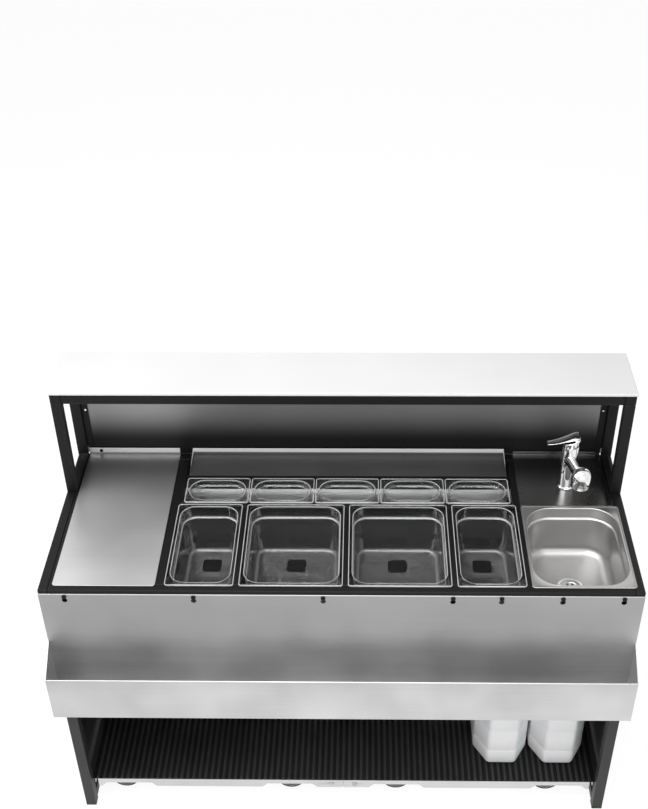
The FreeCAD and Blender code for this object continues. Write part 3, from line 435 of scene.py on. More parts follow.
def roundedOutline(points, radius, z, steps=8):
    count = len(points)
    ring = []
    for index in range(count):
        before, here, after = points[index - 1], points[index], points[(index + 1) % count]
        toBefore, toAfter = before - here, after - here
        half = toBefore.angle(toAfter) / 2
        limit = edgeForm["sideShare"] * min(toBefore.length, toAfter.length) * math.tan(half)
        bend = min(radius, limit)
        start = here + toBefore.normalized() * bend / math.tan(half)
        bisector = (toBefore.normalized() + toAfter.normalized()).normalized()
        middle = here + bisector * bend / math.sin(half)
        turn = math.pi - 2 * half
        begin = math.atan2(start.y - middle.y, start.x - middle.x)
        for step in range(steps + 1):
            angle = begin + turn * step / steps
            ring.append((middle.x + bend * math.cos(angle), middle.y + bend * math.sin(angle), z))
    return ring


def rectangle(lows, highs):
    corners = ((lows.x, lows.y), (highs.x, lows.y), (highs.x, highs.y), (lows.x, highs.y))
    return [Vector(corner) for corner in corners]


def circleRing(middle, radius, along, steps):
    side = along.orthogonal().normalized()
    other = along.cross(side).normalized()
    angles = [math.tau * step / steps for step in range(steps)]
    return [middle + (side * math.cos(angle) + other * math.sin(angle)) * radius for angle in angles]


def revolve(bm, profile, base, along, steps=48, **ends):
    along = along.normalized()
    rings = [
        circleRing(base + along * height, max(radius, edgeForm["thinnest"]), along, steps)
        for radius, height in profile
    ]
    loftRings(bm, rings, **ends)


def arcPoints(middle, radius, start, end, steps):
    angles = [math.radians(start + (end - start) * step / steps) for step in range(steps + 1)]
    return [(middle[0] + radius * math.cos(angle), middle[1] + radius * math.sin(angle)) for angle in angles]


def mirrored(profile):
    return profile + [(radius, -offset) for radius, offset in reversed(profile)]


# Geometry Nodes: one tree puts a shape on every vertex of a point mesh

def repeatTree():
    tree = bpy.data.node_groups.new("repeatOnPoints", "GeometryNodeTree")
    for name, kind in {"Points": "Geometry", "Shape": "Object", "Turn Step": "Float"}.items():
        tree.interface.new_socket(name, in_out="INPUT", socket_type="NodeSocket" + kind)
    tree.interface.new_socket("Geometry", in_out="OUTPUT", socket_type="NodeSocketGeometry")
    given = addNode(tree, "NodeGroupInput").outputs
    shape = addNode(tree, "GeometryNodeObjectInfo", {"Object": given["Shape"]})
    number = addNode(tree, "GeometryNodeInputIndex").outputs["Index"]
    turn = addNode(tree, "ShaderNodeMath", {0: number, 1: given["Turn Step"]}, operation="MULTIPLY")
    around = addNode(tree, "ShaderNodeCombineXYZ", {"Z": turn.outputs["Value"]})
    spread = addNode(tree, "GeometryNodeInstanceOnPoints", {
        "Points": given["Points"], "Instance": shape.outputs["Geometry"],
        "Rotation": around.outputs["Vector"],
    })
    real = addNode(tree, "GeometryNodeRealizeInstances", {"Geometry": spread.outputs["Instances"]})
    addNode(tree, "NodeGroupOutput", {"Geometry": real.outputs["Geometry"]})
    return tree


repeatOnPoints = repeatTree()


def repeatShape(shapeMesh, places, turnStep=0.0):
    shape = newObject("shape", shapeMesh)
    pointMesh = bpy.data.meshes.new("points")
    pointMesh.from_pydata([tuple(place) for place in places], [], [])
    holder = newObject("holder", pointMesh)
    modifier = holder.modifiers.new("repeat", "NODES")
    modifier.node_group = repeatOnPoints
    given = {"Shape": shape, "Turn Step": turnStep}
    for item in repeatOnPoints.interface.items_tree:
        if item.in_out == "INPUT" and item.name in given:
            modifier[item.identifier] = given[item.name]
    mesh = evaluatedMesh(holder)
    bpy.data.objects.remove(shape)
    return mesh


# Tube frames: rounded bars for the tubes, bevelled copies for what is solid

tubeFrame = {"corner": 2.6 * mm, "solidBevel": 0.6 * mm, "tubeFillShare": 0.6}


def frameNode(node):
    bars = bmesh.new()
    meshes = []
    for shell in solidsOf(node):
        lows, highs = shellBox(shell)
        size = highs - lows
        bm = solidMesh(shell)
        fillShare = abs(bm.calc_volume(signed=True)) / (size.x * size.y * size.z)
        bm.free()
        if fillShare < tubeFrame["tubeFillShare"]:
            roundedBar(bars, lows, highs, tubeFrame["corner"])
        else:
            meshes.append(bevelledSolid(shell, tubeFrame["solidBevel"], segments=2))
    meshes.append(meshFrom(bars, "bars"))
    dressNode(node, joinMeshes(meshes, node), flatWidth=edgeForm["wideFace"])


for node in ("left_side_frame", "right_side_frame", "worktop_rails", "worktop_cross_bars", "counter_frame"):
    frameNode(node)
print("tube frames done")


# Plates, panels and fittings whose solid is right: the same shape with broken edges, by their width in mm

foldedSheets = {
    "left_side_panel": 0.5, "right_side_panel": 0.5, "work_plate": 0.6, "garnish_shelf": 0.5,
    "pan_trough": 0.5, "tap_deck": 0.6, "speed_rail": 0, "shelf_tray_left": 0.7, "shelf_tray_right": 0.7,
    "tray_link_plates": 0.6, "corner_brackets": 0.7, "lower_back_panel": 0.5, "upper_back_panel": 0.5,
    "counter_gussets": 0.7,
}
roundedFittings = {
    "foot_glides": 1.4, "rail_screws": 0.5, "tray_bolts": 0.6, "rigid_castor_forks": 0.6,
    "swivel_castor_plates": 0.6, "tap_fixing_nut": 0.8, "tap_aerator": 0.4, "tap_cap": 1.2,
    "castor_fork_front_left": 0.6, "castor_fork_front_right": 0.6, "castor_fork_rear_left": 0.6,
    "castor_fork_rear_right": 0.6,
}
ownFinishes = {
    "work_plate": "plate_stainless", "garnish_shelf": "shelf_stainless", "pan_trough": "trough_stainless",
    "rail_screws": "screw_black",
}
for node, width in foldedSheets.items():
    bevelledNode(node, width * mm, 0, ownFinishes.get(node))
for node, width in roundedFittings.items():
    bevelledNode(node, width * mm, edgeForm["wideFace"], ownFinishes.get(node))
frame["nodes"]["counter_top"].data.materials.clear()
frame["nodes"]["counter_top"].data.materials.append(materials["white_board"])
print("plates and fittings done")


# The speed rail's lip is rolled over into a round hem, and its upper edge is rounded

hem = {
    "lip": 143 * mm, "width": 3 * mm, "sheet": 1.5 * mm, "proud": 0.3 * mm, "above": 0.9 * mm,
    "depth": 2.6 * mm, "round": 1.7 * mm, "edgeAbove": 0.3 * mm, "edgeRound": 0.7 * mm,
}


def railHem():
    lows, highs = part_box("speed_rail")
    lip = lows.z + hem["lip"]
    bm = bmesh.new()
    roundedBar(
        bm, Vector((lows.x, lows.y - hem["proud"], lip - hem["depth"])),
        Vector((highs.x, lows.y + hem["width"] + hem["proud"], lip + hem["above"])), hem["round"], segments=4,
    )
    roundedBar(
        bm, Vector((lows.x, highs.y - hem["sheet"] - hem["proud"], highs.z - hem["depth"])),
        Vector((highs.x, highs.y, highs.z + hem["edgeAbove"])), hem["edgeRound"],
    )
    addDetail("speed_rail_hem", meshFrom(bm, "hem"), "speed_rail", "hem_stainless")


railHem()
print("hem done")


# Small fasteners: a round head, with a raised bar in place of a slot, repeated by Geometry Nodes

fasteners = {
    "strip": {"radius": 3.2 * mm, "height": 1.6 * mm}, "panel": {"radius": 4 * mm, "height": 2 * mm},
    "plate": {"radius": 5 * mm, "height": 3.2 * mm}, "head": ((1, 0.4), (0.82, 0.8), (0.5, 1), (0, 1)),
    "steps": 20, "sink": 0.3 * mm, "bar": 0.9 * mm, "barReach": 0.7, "barDepth": 0.15,
    "barEdge": 0.1 * mm, "stripScrewHeight": 1.033, "stripSheet": 3 * mm, "stripInset": 9.5 * mm,
    "upstandScrew": 34 * mm, "upstandSheet": 2 * mm, "upstandDown": 9 * mm,
    "panelRows": 6, "panelInset": 7.5 * mm,
    "plateInset": 10 * mm, "castorPlate": 3 * mm, "castorPlateMin": 70 * mm,
}


def screwHead(size, along):
    radius, height = size["radius"], size["height"]
    profile = [(radius, -fasteners["sink"])] + [(radius * out, height * up) for out, up in fasteners["head"]]
    bm = bmesh.new()
    revolve(bm, profile, Vector((0, 0, 0)), along, steps=fasteners["steps"])
    across = along.orthogonal().normalized()
    reach = along.cross(across) * radius * fasteners["barReach"]
    half = across * fasteners["bar"] / 2 + reach + along * height * fasteners["barDepth"]
    extent = Vector((abs(half.x), abs(half.y), abs(half.z)))
    roundedBar(bm, along * height - extent, along * height + extent, fasteners["barEdge"], segments=1)
    return meshFrom(bm, "screw")


def addScrews(name, size, along, places, node, finish):
    addDetail(name, repeatShape(screwHead(fasteners[size], along), places), node, finish)


def insetPlaces(lows, highs, inset):
    return lows + inset, highs - inset


def frameScrews():
    panelLow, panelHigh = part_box("upper_back_panel")
    stripX, stripY = panelHigh.x - fasteners["stripInset"], panelLow.y - fasteners["stripSheet"]
    places = [Vector((x, stripY, fasteners["stripScrewHeight"])) for x in (-stripX, stripX)]
    addScrews("strip_screws", "strip", -axisY, places, "counter_frame", "chrome")
    plateLow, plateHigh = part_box("work_plate")
    place = Vector((
        plateLow.x + fasteners["upstandScrew"], plateHigh.y - fasteners["upstandSheet"],
        plateHigh.z - fasteners["upstandDown"],
    ))
    addScrews("upstand_screw", "plate", -axisY, [place], "work_plate", "screw_black")
    for node in ("upper_back_panel", "lower_back_panel"):
        lows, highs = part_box(node)
        bottom, top = insetPlaces(lows.z, highs.z, fasteners["panelInset"])
        places = []
        for row in range(fasteners["panelRows"]):
            z = bottom + (top - bottom) * row / (fasteners["panelRows"] - 1)
            places += [Vector((x, highs.y, z)) for x in insetPlaces(lows.x, highs.x, fasteners["panelInset"])]
        addScrews(node + "_screws", "panel", axisY, places, node, "screw_black")
    places = []
    for node in ("swivel_castor_plates", "rigid_castor_forks"):
        for lows, highs in [shellBox(shell) for shell in solidsOf(node)]:
            if highs.x - lows.x > fasteners["castorPlateMin"]:
                places += [
                    Vector((x, y, highs.z - fasteners["castorPlate"]))
                    for x in insetPlaces(lows.x, highs.x, fasteners["plateInset"])
                    for y in insetPlaces(lows.y, highs.y, fasteners["plateInset"])
                ]
    addScrews("castor_screws", "plate", -axisZ, places, "swivel_castor_plates", "zinc_steel")


frameScrews()
print("fasteners done")


# Clear pans and the sink: rounded sections from the outside floor over the rim to the inside floor

largePan = {
    "rim": 5 * mm, "edge": 1 * mm, "rimCorner": 8 * mm, "bead": 3 * mm, "groove": 1.6 * mm, "inset": 11 * mm,
    "corner": 40 * mm, "wall": 2.2 * mm, "shoulderShare": 0.24, "step": 4 * mm, "rise": 3 * mm,
    "taper": 5 * mm, "floorRound": 10 * mm, "arcSteps": 5,
    # painted highlight: the shine values set how far each ring turns from clear to white
    "rimShine": (0, 0.1, 0.4, 0.4, 0.75, 0.75, 0.5, 0, 0, 0.1, 0.85, 0.7, 0.3, 0),
    "sideShine": (0.04, 0.1, 0.5, 0.35, 0.03), "wallShine": 0.04, "floorShine": 0.06, "floorEdgeShine": 0.3,
}
smallPan = {**largePan, "sideShine": (0.02, 0.05, 0.16, 0.14, 0.02), "wallShine": 0.02, "floorEdgeShine": 0.1}
sinkForm = {
    "rim": 2 * mm, "edge": 4 * mm, "rimCorner": 8 * mm, "bead": 3 * mm, "groove": 0.7 * mm, "inset": 10 * mm,
    "corner": 70 * mm, "wall": 1 * mm, "shoulderShare": 0.22, "step": 4 * mm, "rise": 3 * mm, "taper": 5 * mm,
    "floorRound": 28 * mm, "arcSteps": 8, "drainHole": 27 * mm,
}
bowlForm = {"lip": 1 * mm, "leastCorner": 2 * mm, "stepIn": 0.4 * mm, "stepDown": 1.5 * mm, "riseShare": 0.35}


def bowlRings(lows, highs, form):
    outline = rectangle(lows, highs)
    top, seat = highs.z, highs.z - form["rim"]
    floor = lows.z + form["wall"]
    shoulder = top - (top - floor) * form["shoulderShare"]
    wall, inset, bead, jog = form["wall"], form["inset"], form["bead"], form["step"]

    def ring(depth, z, corner):
        return roundedOutline(insetOutline(outline, depth), max(corner, bowlForm["leastCorner"]), z)

    def bowlSide(grown):
        # from the floor's edge up to the shoulder; grown is the wall on the outside and 0 on the inside
        bend = form["floorRound"] + grown
        reach = inset + jog + form["taper"] - grown
        corner = form["corner"] + grown
        side = []
        for step in range(form["arcSteps"] + 1):
            angle = quarterTurn * step / form["arcSteps"]
            inward, upward = bend * (1 - math.sin(angle)), bend * (1 - math.cos(angle))
            side.append(ring(reach + inward, floor - grown + upward, corner - jog - form["taper"] - inward))
        low = shoulder - form["rise"] - grown
        stepIn = inset + jog - grown
        side.append(ring(stepIn + bowlForm["stepIn"], low - bowlForm["stepDown"], corner - jog))
        side.append(ring(stepIn, low, corner - jog))
        side.append(ring(stepIn - jog / 2, low + form["rise"] * bowlForm["riseShare"], corner))
        side.append(ring(inset - grown, shoulder - grown, corner))
        side.append(ring(inset - grown, shoulder - grown + jog, corner))
        return side

    rimCorner, corner = form["rimCorner"], form["corner"]
    lip, edge = bowlForm["lip"], form["edge"]
    outside = bowlSide(wall) + [ring(inset - wall, seat, corner + wall)]
    rim = [
        ring(lip, seat, rimCorner - lip), ring(0.3 * lip, seat + 0.3 * lip, rimCorner),
        ring(0, seat + lip, rimCorner), ring(0, top - lip, rimCorner),
        ring(0.3 * lip, top - 0.3 * lip, rimCorner), ring(lip, top, rimCorner - lip),
        ring(bead - lip, top, rimCorner - bead), ring(bead, top - form["groove"], rimCorner - bead),
        ring(inset - bead, top - form["groove"], corner + bead),
        ring(inset - bead + 0.8 * lip, top, corner + bead),
        ring(inset - 0.5 * edge, top, corner), ring(inset - 0.1 * edge, top - 0.2 * edge, corner),
        ring(inset, top - 0.6 * edge, corner), ring(inset, top - 1.5 * edge - lip, corner),
    ]
    return outside + rim + list(reversed(bowlSide(0)))


def edgeShines(form):
    # one painted-highlight value for each ring of the pan, from the outside floor to the inside floor
    steps = form["arcSteps"]
    waves = [math.sin(math.pi * step / steps) for step in range(1, steps + 1)]
    bend = [max(form["wallShine"], form["floorEdgeShine"] * wave) for wave in waves]
    inside = [form["floorShine"]] + bend + list(form["sideShine"])
    return [0] * (len(inside) + 1) + list(form["rimShine"]) + inside[::-1]


def clearPan(node, form):
    rings = bowlRings(*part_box(node), form)
    bm = bmesh.new()
    loftRings(bm, rings)
    mesh = meshFrom(bm, node)
    shines = mesh.attributes.new("edgeShine", "FLOAT", "POINT")
    shines.data.foreach_set("value", [shine for shine in edgeShines(form) for point in rings[0]])
    dressNode(node, mesh, sharp=50)


patch = {
    "size": (52 * mm, 50 * mm), "thick": 0.5 * mm, "corner": 9 * mm, "back": 77 * mm, "gap": 0.05 * mm,
    "drop": 0.15 * mm, "edge": 0.2 * mm,
}


def floorPatch(node):
    lows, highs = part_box(node)
    middle = (lows + highs) / 2 + axisY * patch["back"]
    half = Vector(patch["size"]) / 2
    outline = rectangle(middle.xy - half, middle.xy + half)
    floor = lows.z + largePan["wall"]
    top = floor + patch["thick"]
    bm = bmesh.new()
    loftRings(bm, [
        roundedOutline(outline, patch["corner"], floor + patch["gap"]),
        roundedOutline(outline, patch["corner"], top - patch["drop"]),
        roundedOutline(insetOutline(outline, patch["edge"]), patch["corner"], top),
    ])
    addDetail(node + "_patch", meshFrom(bm, node), node, "floor_patch")


for node in ("pan_third_left", "pan_half_left", "pan_half_right", "pan_third_right"):
    clearPan(node, largePan)
    floorPatch(node)
for node in [name for name in bodyOfNode if name.startswith("pan_ninth")]:
    clearPan(node, smallPan)


def sinkBowl():
    lows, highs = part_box("sink_bowl")
    middle = (lows + highs) / 2
    rings = bowlRings(lows, highs, sinkForm)

    def holeRing(source):
        reach, level = sinkForm["drainHole"], source[0][2]
        angles = [math.atan2(y - middle.y, x - middle.x) for x, y, _ in source]
        return [(middle.x + reach * math.cos(a), middle.y + reach * math.sin(a), level) for a in angles]

    bm = bmesh.new()
    loftRings(bm, [holeRing(rings[0])] + rings + [holeRing(rings[-1])], joined=True)
    dressNode("sink_bowl", meshFrom(bm, "sink"), sharp=55)


drain = {
    "flange": 36 * mm, "flangeHeight": 2 * mm, "bore": 22.7 * mm, "body": 24.7 * mm, "nut": 34 * mm,
    "nutHeight": 8 * mm, "nutEdge": 0.8 * mm, "tail": 20 * mm, "wall": 2 * mm, "bodyLength": 34 * mm,
    "holes": 6, "holeRadius": 4 * mm, "holeCircle": 14.5 * mm, "holeSteps": 10, "strainerDrop": 2 * mm,
    "strainerThick": 1.2 * mm, "strainerEye": 2 * mm, "screwRadius": 4.2 * mm, "screwSteps": 24,
    "weld": 0.01 * mm,
}


def sinkDrain():
    lows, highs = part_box("sink_drain")
    middle = (lows + highs) / 2
    floor = highs.z - drain["flangeHeight"]
    flange, bore, body, nut, wall = (drain[key] for key in ("flange", "bore", "body", "nut", "wall"))
    tail, tailBore, edge = drain["tail"], drain["tail"] - wall, drain["nutEdge"]
    bottom, strainer = floor - drain["bodyLength"], floor - drain["strainerDrop"]
    nutTop = floor - sinkForm["wall"]
    nutLow = nutTop - drain["nutHeight"]
    profile = [
        (tailBore, lows.z), (tail, lows.z), (tail, bottom - wall), (body, bottom), (body, nutLow),
        (nut - edge, nutLow), (nut, nutLow + edge), (nut, nutTop), (body, nutTop), (body, floor),
        (flange, floor), (flange, floor + 0.6 * mm), (flange - 1.2 * mm, floor + 1.3 * mm),
        (flange - 5 * mm, highs.z), (bore + 3 * mm, highs.z), (bore + 1 * mm, highs.z - 0.6 * mm),
        (bore, strainer), (bore, bottom + wall), (tailBore, bottom),
    ]
    bm = bmesh.new()
    revolve(bm, profile, Vector((middle.x, middle.y, 0)), axisZ, joined=True)
    screw = drain["screwRadius"]
    dome = [(screw, 0), (screw, 0.8 * mm), (screw * 0.7, 1.6 * mm), (0.2 * mm, 1.8 * mm)]
    revolve(bm, dome, Vector((middle.x, middle.y, strainer)), axisZ, steps=drain["screwSteps"])
    dressNode("sink_drain", meshFrom(bm, "drain"), sharp=30, finish="drain_satin")


def ray(angle, reach):
    return Vector((math.cos(angle), math.sin(angle), 0)) * reach


def sinkStrainer():
    # a round plate with a ring of holes, made of one sector for each hole
    lows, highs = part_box("sink_drain")
    middle = (lows + highs) / 2
    top = highs.z - drain["flangeHeight"] - drain["strainerDrop"]
    sectors, steps, radius = drain["holes"], drain["holeSteps"], drain["holeRadius"]
    plate = bmesh.new()
    for level, flip in ((top, False), (top - drain["strainerThick"], True)):
        place = Vector((middle.x, middle.y, level))
        for sector in range(sectors):
            heading = math.tau * sector / sectors
            hub = ray(heading, drain["holeCircle"])
            rim, hole, backHole, eye = [], [], [], []
            for step in range(steps + 1):
                share = step / steps
                angle = heading + math.tau / sectors * (share - 0.5)
                rim.append(ray(angle, drain["bore"]))
                hole.append(hub + ray(heading + math.pi * (share - 0.5), radius))
                backHole.append(hub + ray(heading + math.pi * (1.5 - share), radius))
                eye.append(ray(angle, drain["strainerEye"]))
            quads = [
                (outer[step], outer[step + 1], inner[step + 1], inner[step])
                for outer, inner in ((rim, hole), (backHole, eye)) for step in range(steps)
            ]
            quads.append((rim[0], hole[0], backHole[0], eye[0]))
            quads.append((hole[-1], rim[-1], eye[-1], backHole[-1]))
            for quad in quads:
                corners = reversed(quad) if flip else quad
                plate.faces.new([plate.verts.new(place + point) for point in corners])
    bmesh.ops.remove_doubles(plate, verts=plate.verts, dist=drain["weld"])
    addDetail("sink_strainer", meshFrom(plate, "strainer"), "sink_drain", "drain_satin")


sinkBowl()
sinkDrain()
sinkStrainer()
print("pans and sink done")


# Tap: turned column, a shank with rings for its thread, flared arm, domed barrel and a curved lever

tap = {
    "column": 22 * mm, "foot": 25 * mm, "arm": 15.5 * mm, "armFlare": 20 * mm, "armSteps": 24, "armSides": 40,
    "barrel": 26 * mm, "dome": 25.8 * mm, "mouth": 12 * mm, "mouthDepth": 14 * mm, "aeratorLip": 2 * mm,
    "shank": 16 * mm, "thread": 0.8 * mm, "threadPitch": 2 * mm, "spoutHeight": 92 * mm, "spoutRise": 22 * mm,
    "deckSheet": 2 * mm, "capGap": 0.3 * mm, "steps": 64, "domeSteps": 12,
}


def tapBody():
    lows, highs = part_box("tap_body")
    nutLow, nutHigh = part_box("tap_fixing_nut")
    airLow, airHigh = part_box("tap_aerator")
    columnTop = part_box("tap_cap")[0].z - tap["capGap"]
    column = (nutLow + nutHigh) / 2
    barrel = (airLow + airHigh) / 2
    deckTop = nutHigh.z + tap["deckSheet"]
    bm = bmesh.new()
    profile = []
    for turn in range(int((deckTop - lows.z) / tap["threadPitch"])):
        z = lows.z + turn * tap["threadPitch"]
        profile += [(tap["shank"] - tap["thread"], z), (tap["shank"], z + tap["threadPitch"] / 2)]
    foot, across = tap["foot"], tap["column"]
    profile += [
        (tap["shank"], deckTop), (foot - 0.5 * mm, deckTop), (foot, deckTop + 0.8 * mm),
        (foot - 0.2 * mm, deckTop + 2.2 * mm), (across + 1 * mm, deckTop + 4.5 * mm),
        (across, deckTop + 8 * mm), (across, columnTop - 1.5 * mm),
        (across - 0.4 * mm, columnTop - 0.4 * mm), (across - 1.5 * mm, columnTop),
    ]
    revolve(bm, profile, Vector((column.x, column.y, 0)), axisZ, steps=tap["steps"])
    start = Vector((column.x, column.y, deckTop + tap["spoutHeight"]))
    end = Vector((barrel.x, barrel.y, deckTop + tap["spoutHeight"] + tap["spoutRise"]))
    rings = []
    for step in range(tap["armSteps"] + 1):
        share = step / tap["armSteps"]
        waist = abs(2 * share - 1) ** 3
        radius = tap["arm"] + (tap["armFlare"] - tap["arm"]) * waist
        rings.append(circleRing(start.lerp(end, share), radius, end - start, tap["armSides"]))
    loftRings(bm, rings)
    bottom, top = airLow.z + tap["aeratorLip"], highs.z
    inside, mouth, outside = bottom + tap["mouthDepth"], tap["mouth"], tap["barrel"]
    spout = [
        (0.2 * mm, inside), (mouth, inside), (mouth, bottom + 0.5 * mm), (mouth + 0.8 * mm, bottom),
        (outside - 2 * mm, bottom), (outside - 0.6 * mm, bottom + 0.5 * mm), (outside, bottom + 2 * mm),
    ]
    spout += arcPoints((outside - tap["dome"], top - tap["dome"]), tap["dome"], 0, 90, tap["domeSteps"])
    revolve(bm, spout, Vector((barrel.x, barrel.y, 0)), axisZ, steps=tap["steps"])
    dressNode("tap_body", meshFrom(bm, "tap"), sharp=40)


lever = {
    "knuckle": 7 * mm, "offset": 15 * mm, "gap": 0.3 * mm, "underside": 4 * mm, "crest": 8 * mm, "curve": 0.7,
    "tipLift": 4.5 * mm, "tipThick": 4 * mm, "rootHalf": 18 * mm, "tipHalf": 9 * mm, "endRound": 3.5 * mm,
    "endStart": 0.1 * mm, "endWidth": 0.6, "sections": 56, "steps": 32, "square": 0.7,
}


def tapLever():
    lows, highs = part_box("tap_lever")
    capLow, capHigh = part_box("tap_cap")
    middle = (lows.y + highs.y) / 2
    pivotX = (capLow.x + capHigh.x) / 2 + lever["offset"]
    pivotZ = capHigh.z - lever["knuckle"]
    clear = lever["knuckle"] + lever["gap"]
    crest = pivotX - lever["crest"]
    slope = (pivotZ + lever["underside"] - lows.z) / (pivotX - lows.x)
    length = highs.x - lows.x
    tipHigh = lows.z + lever["tipLift"] + lever["tipThick"]

    def squared(value):
        return math.copysign(abs(value) ** lever["square"], value)

    rings = []
    for index in range(lever["sections"] + 1):
        # share runs from the root at 0 to the tip at 1, with closer sections at both ends
        share = (1 - math.cos(math.pi * index / lever["sections"])) / 2
        x = highs.x - share * length
        low = lows.z + slope * (x - lows.x) + lever["tipLift"] * share**3
        if abs(x - pivotX) < clear:
            low = max(low, pivotZ + math.sqrt(clear**2 - (x - pivotX) ** 2))
        fall = max(0.0, (crest - x) / (crest - lows.x)) ** lever["curve"]
        high = highs.z + (tipHigh - highs.z) * fall**2 * (3 - 2 * fall)
        near = min(1.0, (min(share, 1 - share) * length + lever["endStart"]) / lever["endRound"])
        ends = math.sqrt(1 - (1 - near) ** 2)
        half = lever["rootHalf"] + (lever["tipHalf"] - lever["rootHalf"]) * share
        half *= lever["endWidth"] + (1 - lever["endWidth"]) * ends
        level, thick = (high + low) / 2, (high - low) / 2 * ends
        turns = [math.tau * step / lever["steps"] for step in range(lever["steps"])]
        rings.append([
            Vector((x, middle + half * squared(math.cos(turn)), level + thick * squared(math.sin(turn))))
            for turn in turns
        ])
    bm = bmesh.new()
    loftRings(bm, rings)
    dressNode("tap_lever", meshFrom(bm, "lever"), sharp=40)


tapBody()
tapLever()
print("tap done")


# Castor wheels: rounded tyre and a dished hub, turned about the axle

wheel = {
    "tread": 40 * mm, "core": 31 * mm, "half": 14 * mm, "shoulder": 6 * mm, "bore": 4.3 * mm, "boss": 11 * mm,
    "bossFoot": 1 * mm, "dish": 4 * mm, "rim": 3 * mm, "rimFoot": 4 * mm, "steps": 56, "arcSteps": 6,
}


def castorWheel(node):
    lows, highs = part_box(node)
    middle = (lows + highs) / 2
    half, core, boss, bend = wheel["half"], wheel["core"], wheel["boss"], wheel["shoulder"]
    shoulder = arcPoints((wheel["tread"] - bend, half - bend), bend, 90, 0, wheel["arcSteps"])
    tyre = bmesh.new()
    revolve(tyre, mirrored([(core, half)] + shoulder), middle, axisY, steps=wheel["steps"], joined=True)
    placePiece(node + "_tyre", meshFrom(tyre, node), slotOfNode[node], [node], sharp=40)
    web = half - wheel["dish"]
    side = [
        (wheel["bore"], half), (boss, half), (boss + wheel["bossFoot"], web), (core - wheel["rimFoot"], web),
        (core - wheel["rim"], half), (core, half),
    ]
    hub = bmesh.new()
    revolve(hub, mirrored(side), middle, axisY, steps=wheel["steps"], joined=True)
    addDetail(node + "_hub", meshFrom(hub, node), node, "hub_grey")


for node in [name for name in bodyOfNode if name.startswith("wheel_")]:
    castorWheel(node)
print("castors done")


# Ribbed mat: a thin sheet with a rounded rib repeated across it

mat = {
    "base": 3 * mm, "sheetRound": 0.8 * mm, "rib": 7 * mm, "ribRound": 1.2 * mm, "ribSink": 0.5,
    "pitch": 17.6 * mm, "edge": 1 * mm, "overhang": 16.5 * mm,
}


def ribbedMat():
    lows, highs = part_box("shelf_mat")
    lows.x -= mat["overhang"]
    highs.x += mat["overhang"]
    sheet = bmesh.new()
    roundedBar(sheet, lows, Vector((highs.x, highs.y, lows.z + mat["base"])), mat["sheetRound"], segments=2)
    count = int((highs.x - lows.x) // mat["pitch"])
    first = (lows.x + highs.x - (count - 1) * mat["pitch"]) / 2
    rib = bmesh.new()
    half = mat["rib"] / 2
    roundedBar(
        rib, Vector((-half, lows.y + mat["edge"], lows.z + mat["base"] * mat["ribSink"])),
        Vector((half, highs.y - mat["edge"], highs.z)), mat["ribRound"],
    )
    places = [Vector((first + number * mat["pitch"], 0, 0)) for number in range(count)]
    ribs = repeatShape(meshFrom(rib, "rib"), places)
    dressNode("shelf_mat", meshFrom(sheet, "sheet"))
    # painted highlight: the ribs take the lighter rib_rubber finish
    addDetail("shelf_mat_ribs", ribs, "shelf_mat", "rib_rubber")


ribbedMat()
print("mat done")


# Jerrycans: a moulded body with cut front corners, ring grooves, a neck, an arched handle and a ribbed cap

can = {
    "chamferSide": 38 * mm, "chamferFront": 66 * mm, "round": 12 * mm, "corner": 16 * mm, "arcSteps": 6,
    "height": 288 * mm, "groove": 2.2 * mm, "grooveHeights": (60 * mm, 144 * mm, 228 * mm),
    "grooveShape": ((-7 * mm, 0), (-4 * mm, 0.5), (-1.5 * mm, 1), (1.5 * mm, 1), (4 * mm, 0.5), (7 * mm, 0)),
    "neck": 23 * mm, "neckWall": 2 * mm, "neckHeight": 14 * mm, "neckFromFront": 48 * mm, "neckSteps": 40,
    "handleWidth": 26 * mm, "handleBar": 16 * mm, "handleRound": 6 * mm, "handleHeight": 46 * mm,
    "handleLength": 118 * mm, "handleFromRear": 18 * mm, "handleTurn": 14 * mm, "handleSink": 4 * mm,
    "capWall": 2.5 * mm, "gap": 0.3 * mm, "capRibs": 36, "ribHalf": 0.7 * mm, "ribSink": 0.6 * mm,
    "ribRound": 0.4 * mm,
}


def canBody(bm, lows, highs, top):
    outline = [Vector(corner) for corner in (
        (lows.x + can["chamferSide"], lows.y), (highs.x - can["chamferSide"], lows.y),
        (highs.x, lows.y + can["chamferFront"]), (highs.x, highs.y),
        (lows.x, highs.y), (lows.x, lows.y + can["chamferFront"]),
    )]

    def ring(depth, z):
        return roundedOutline(insetOutline(outline, depth), can["corner"], z, can["arcSteps"])

    angles = [quarterTurn * step / can["arcSteps"] for step in range(can["arcSteps"] + 1)]
    bends = [(can["round"] * (1 - math.sin(angle)), can["round"] * (1 - math.cos(angle))) for angle in angles]
    rings = [ring(inward, lows.z + upward) for inward, upward in bends]
    for height in can["grooveHeights"]:
        for offset, depth in can["grooveShape"]:
            rings.append(ring(depth * can["groove"], lows.z + height + offset))
    rings += [ring(inward, top - upward) for inward, upward in reversed(bends)]
    loftRings(bm, rings)


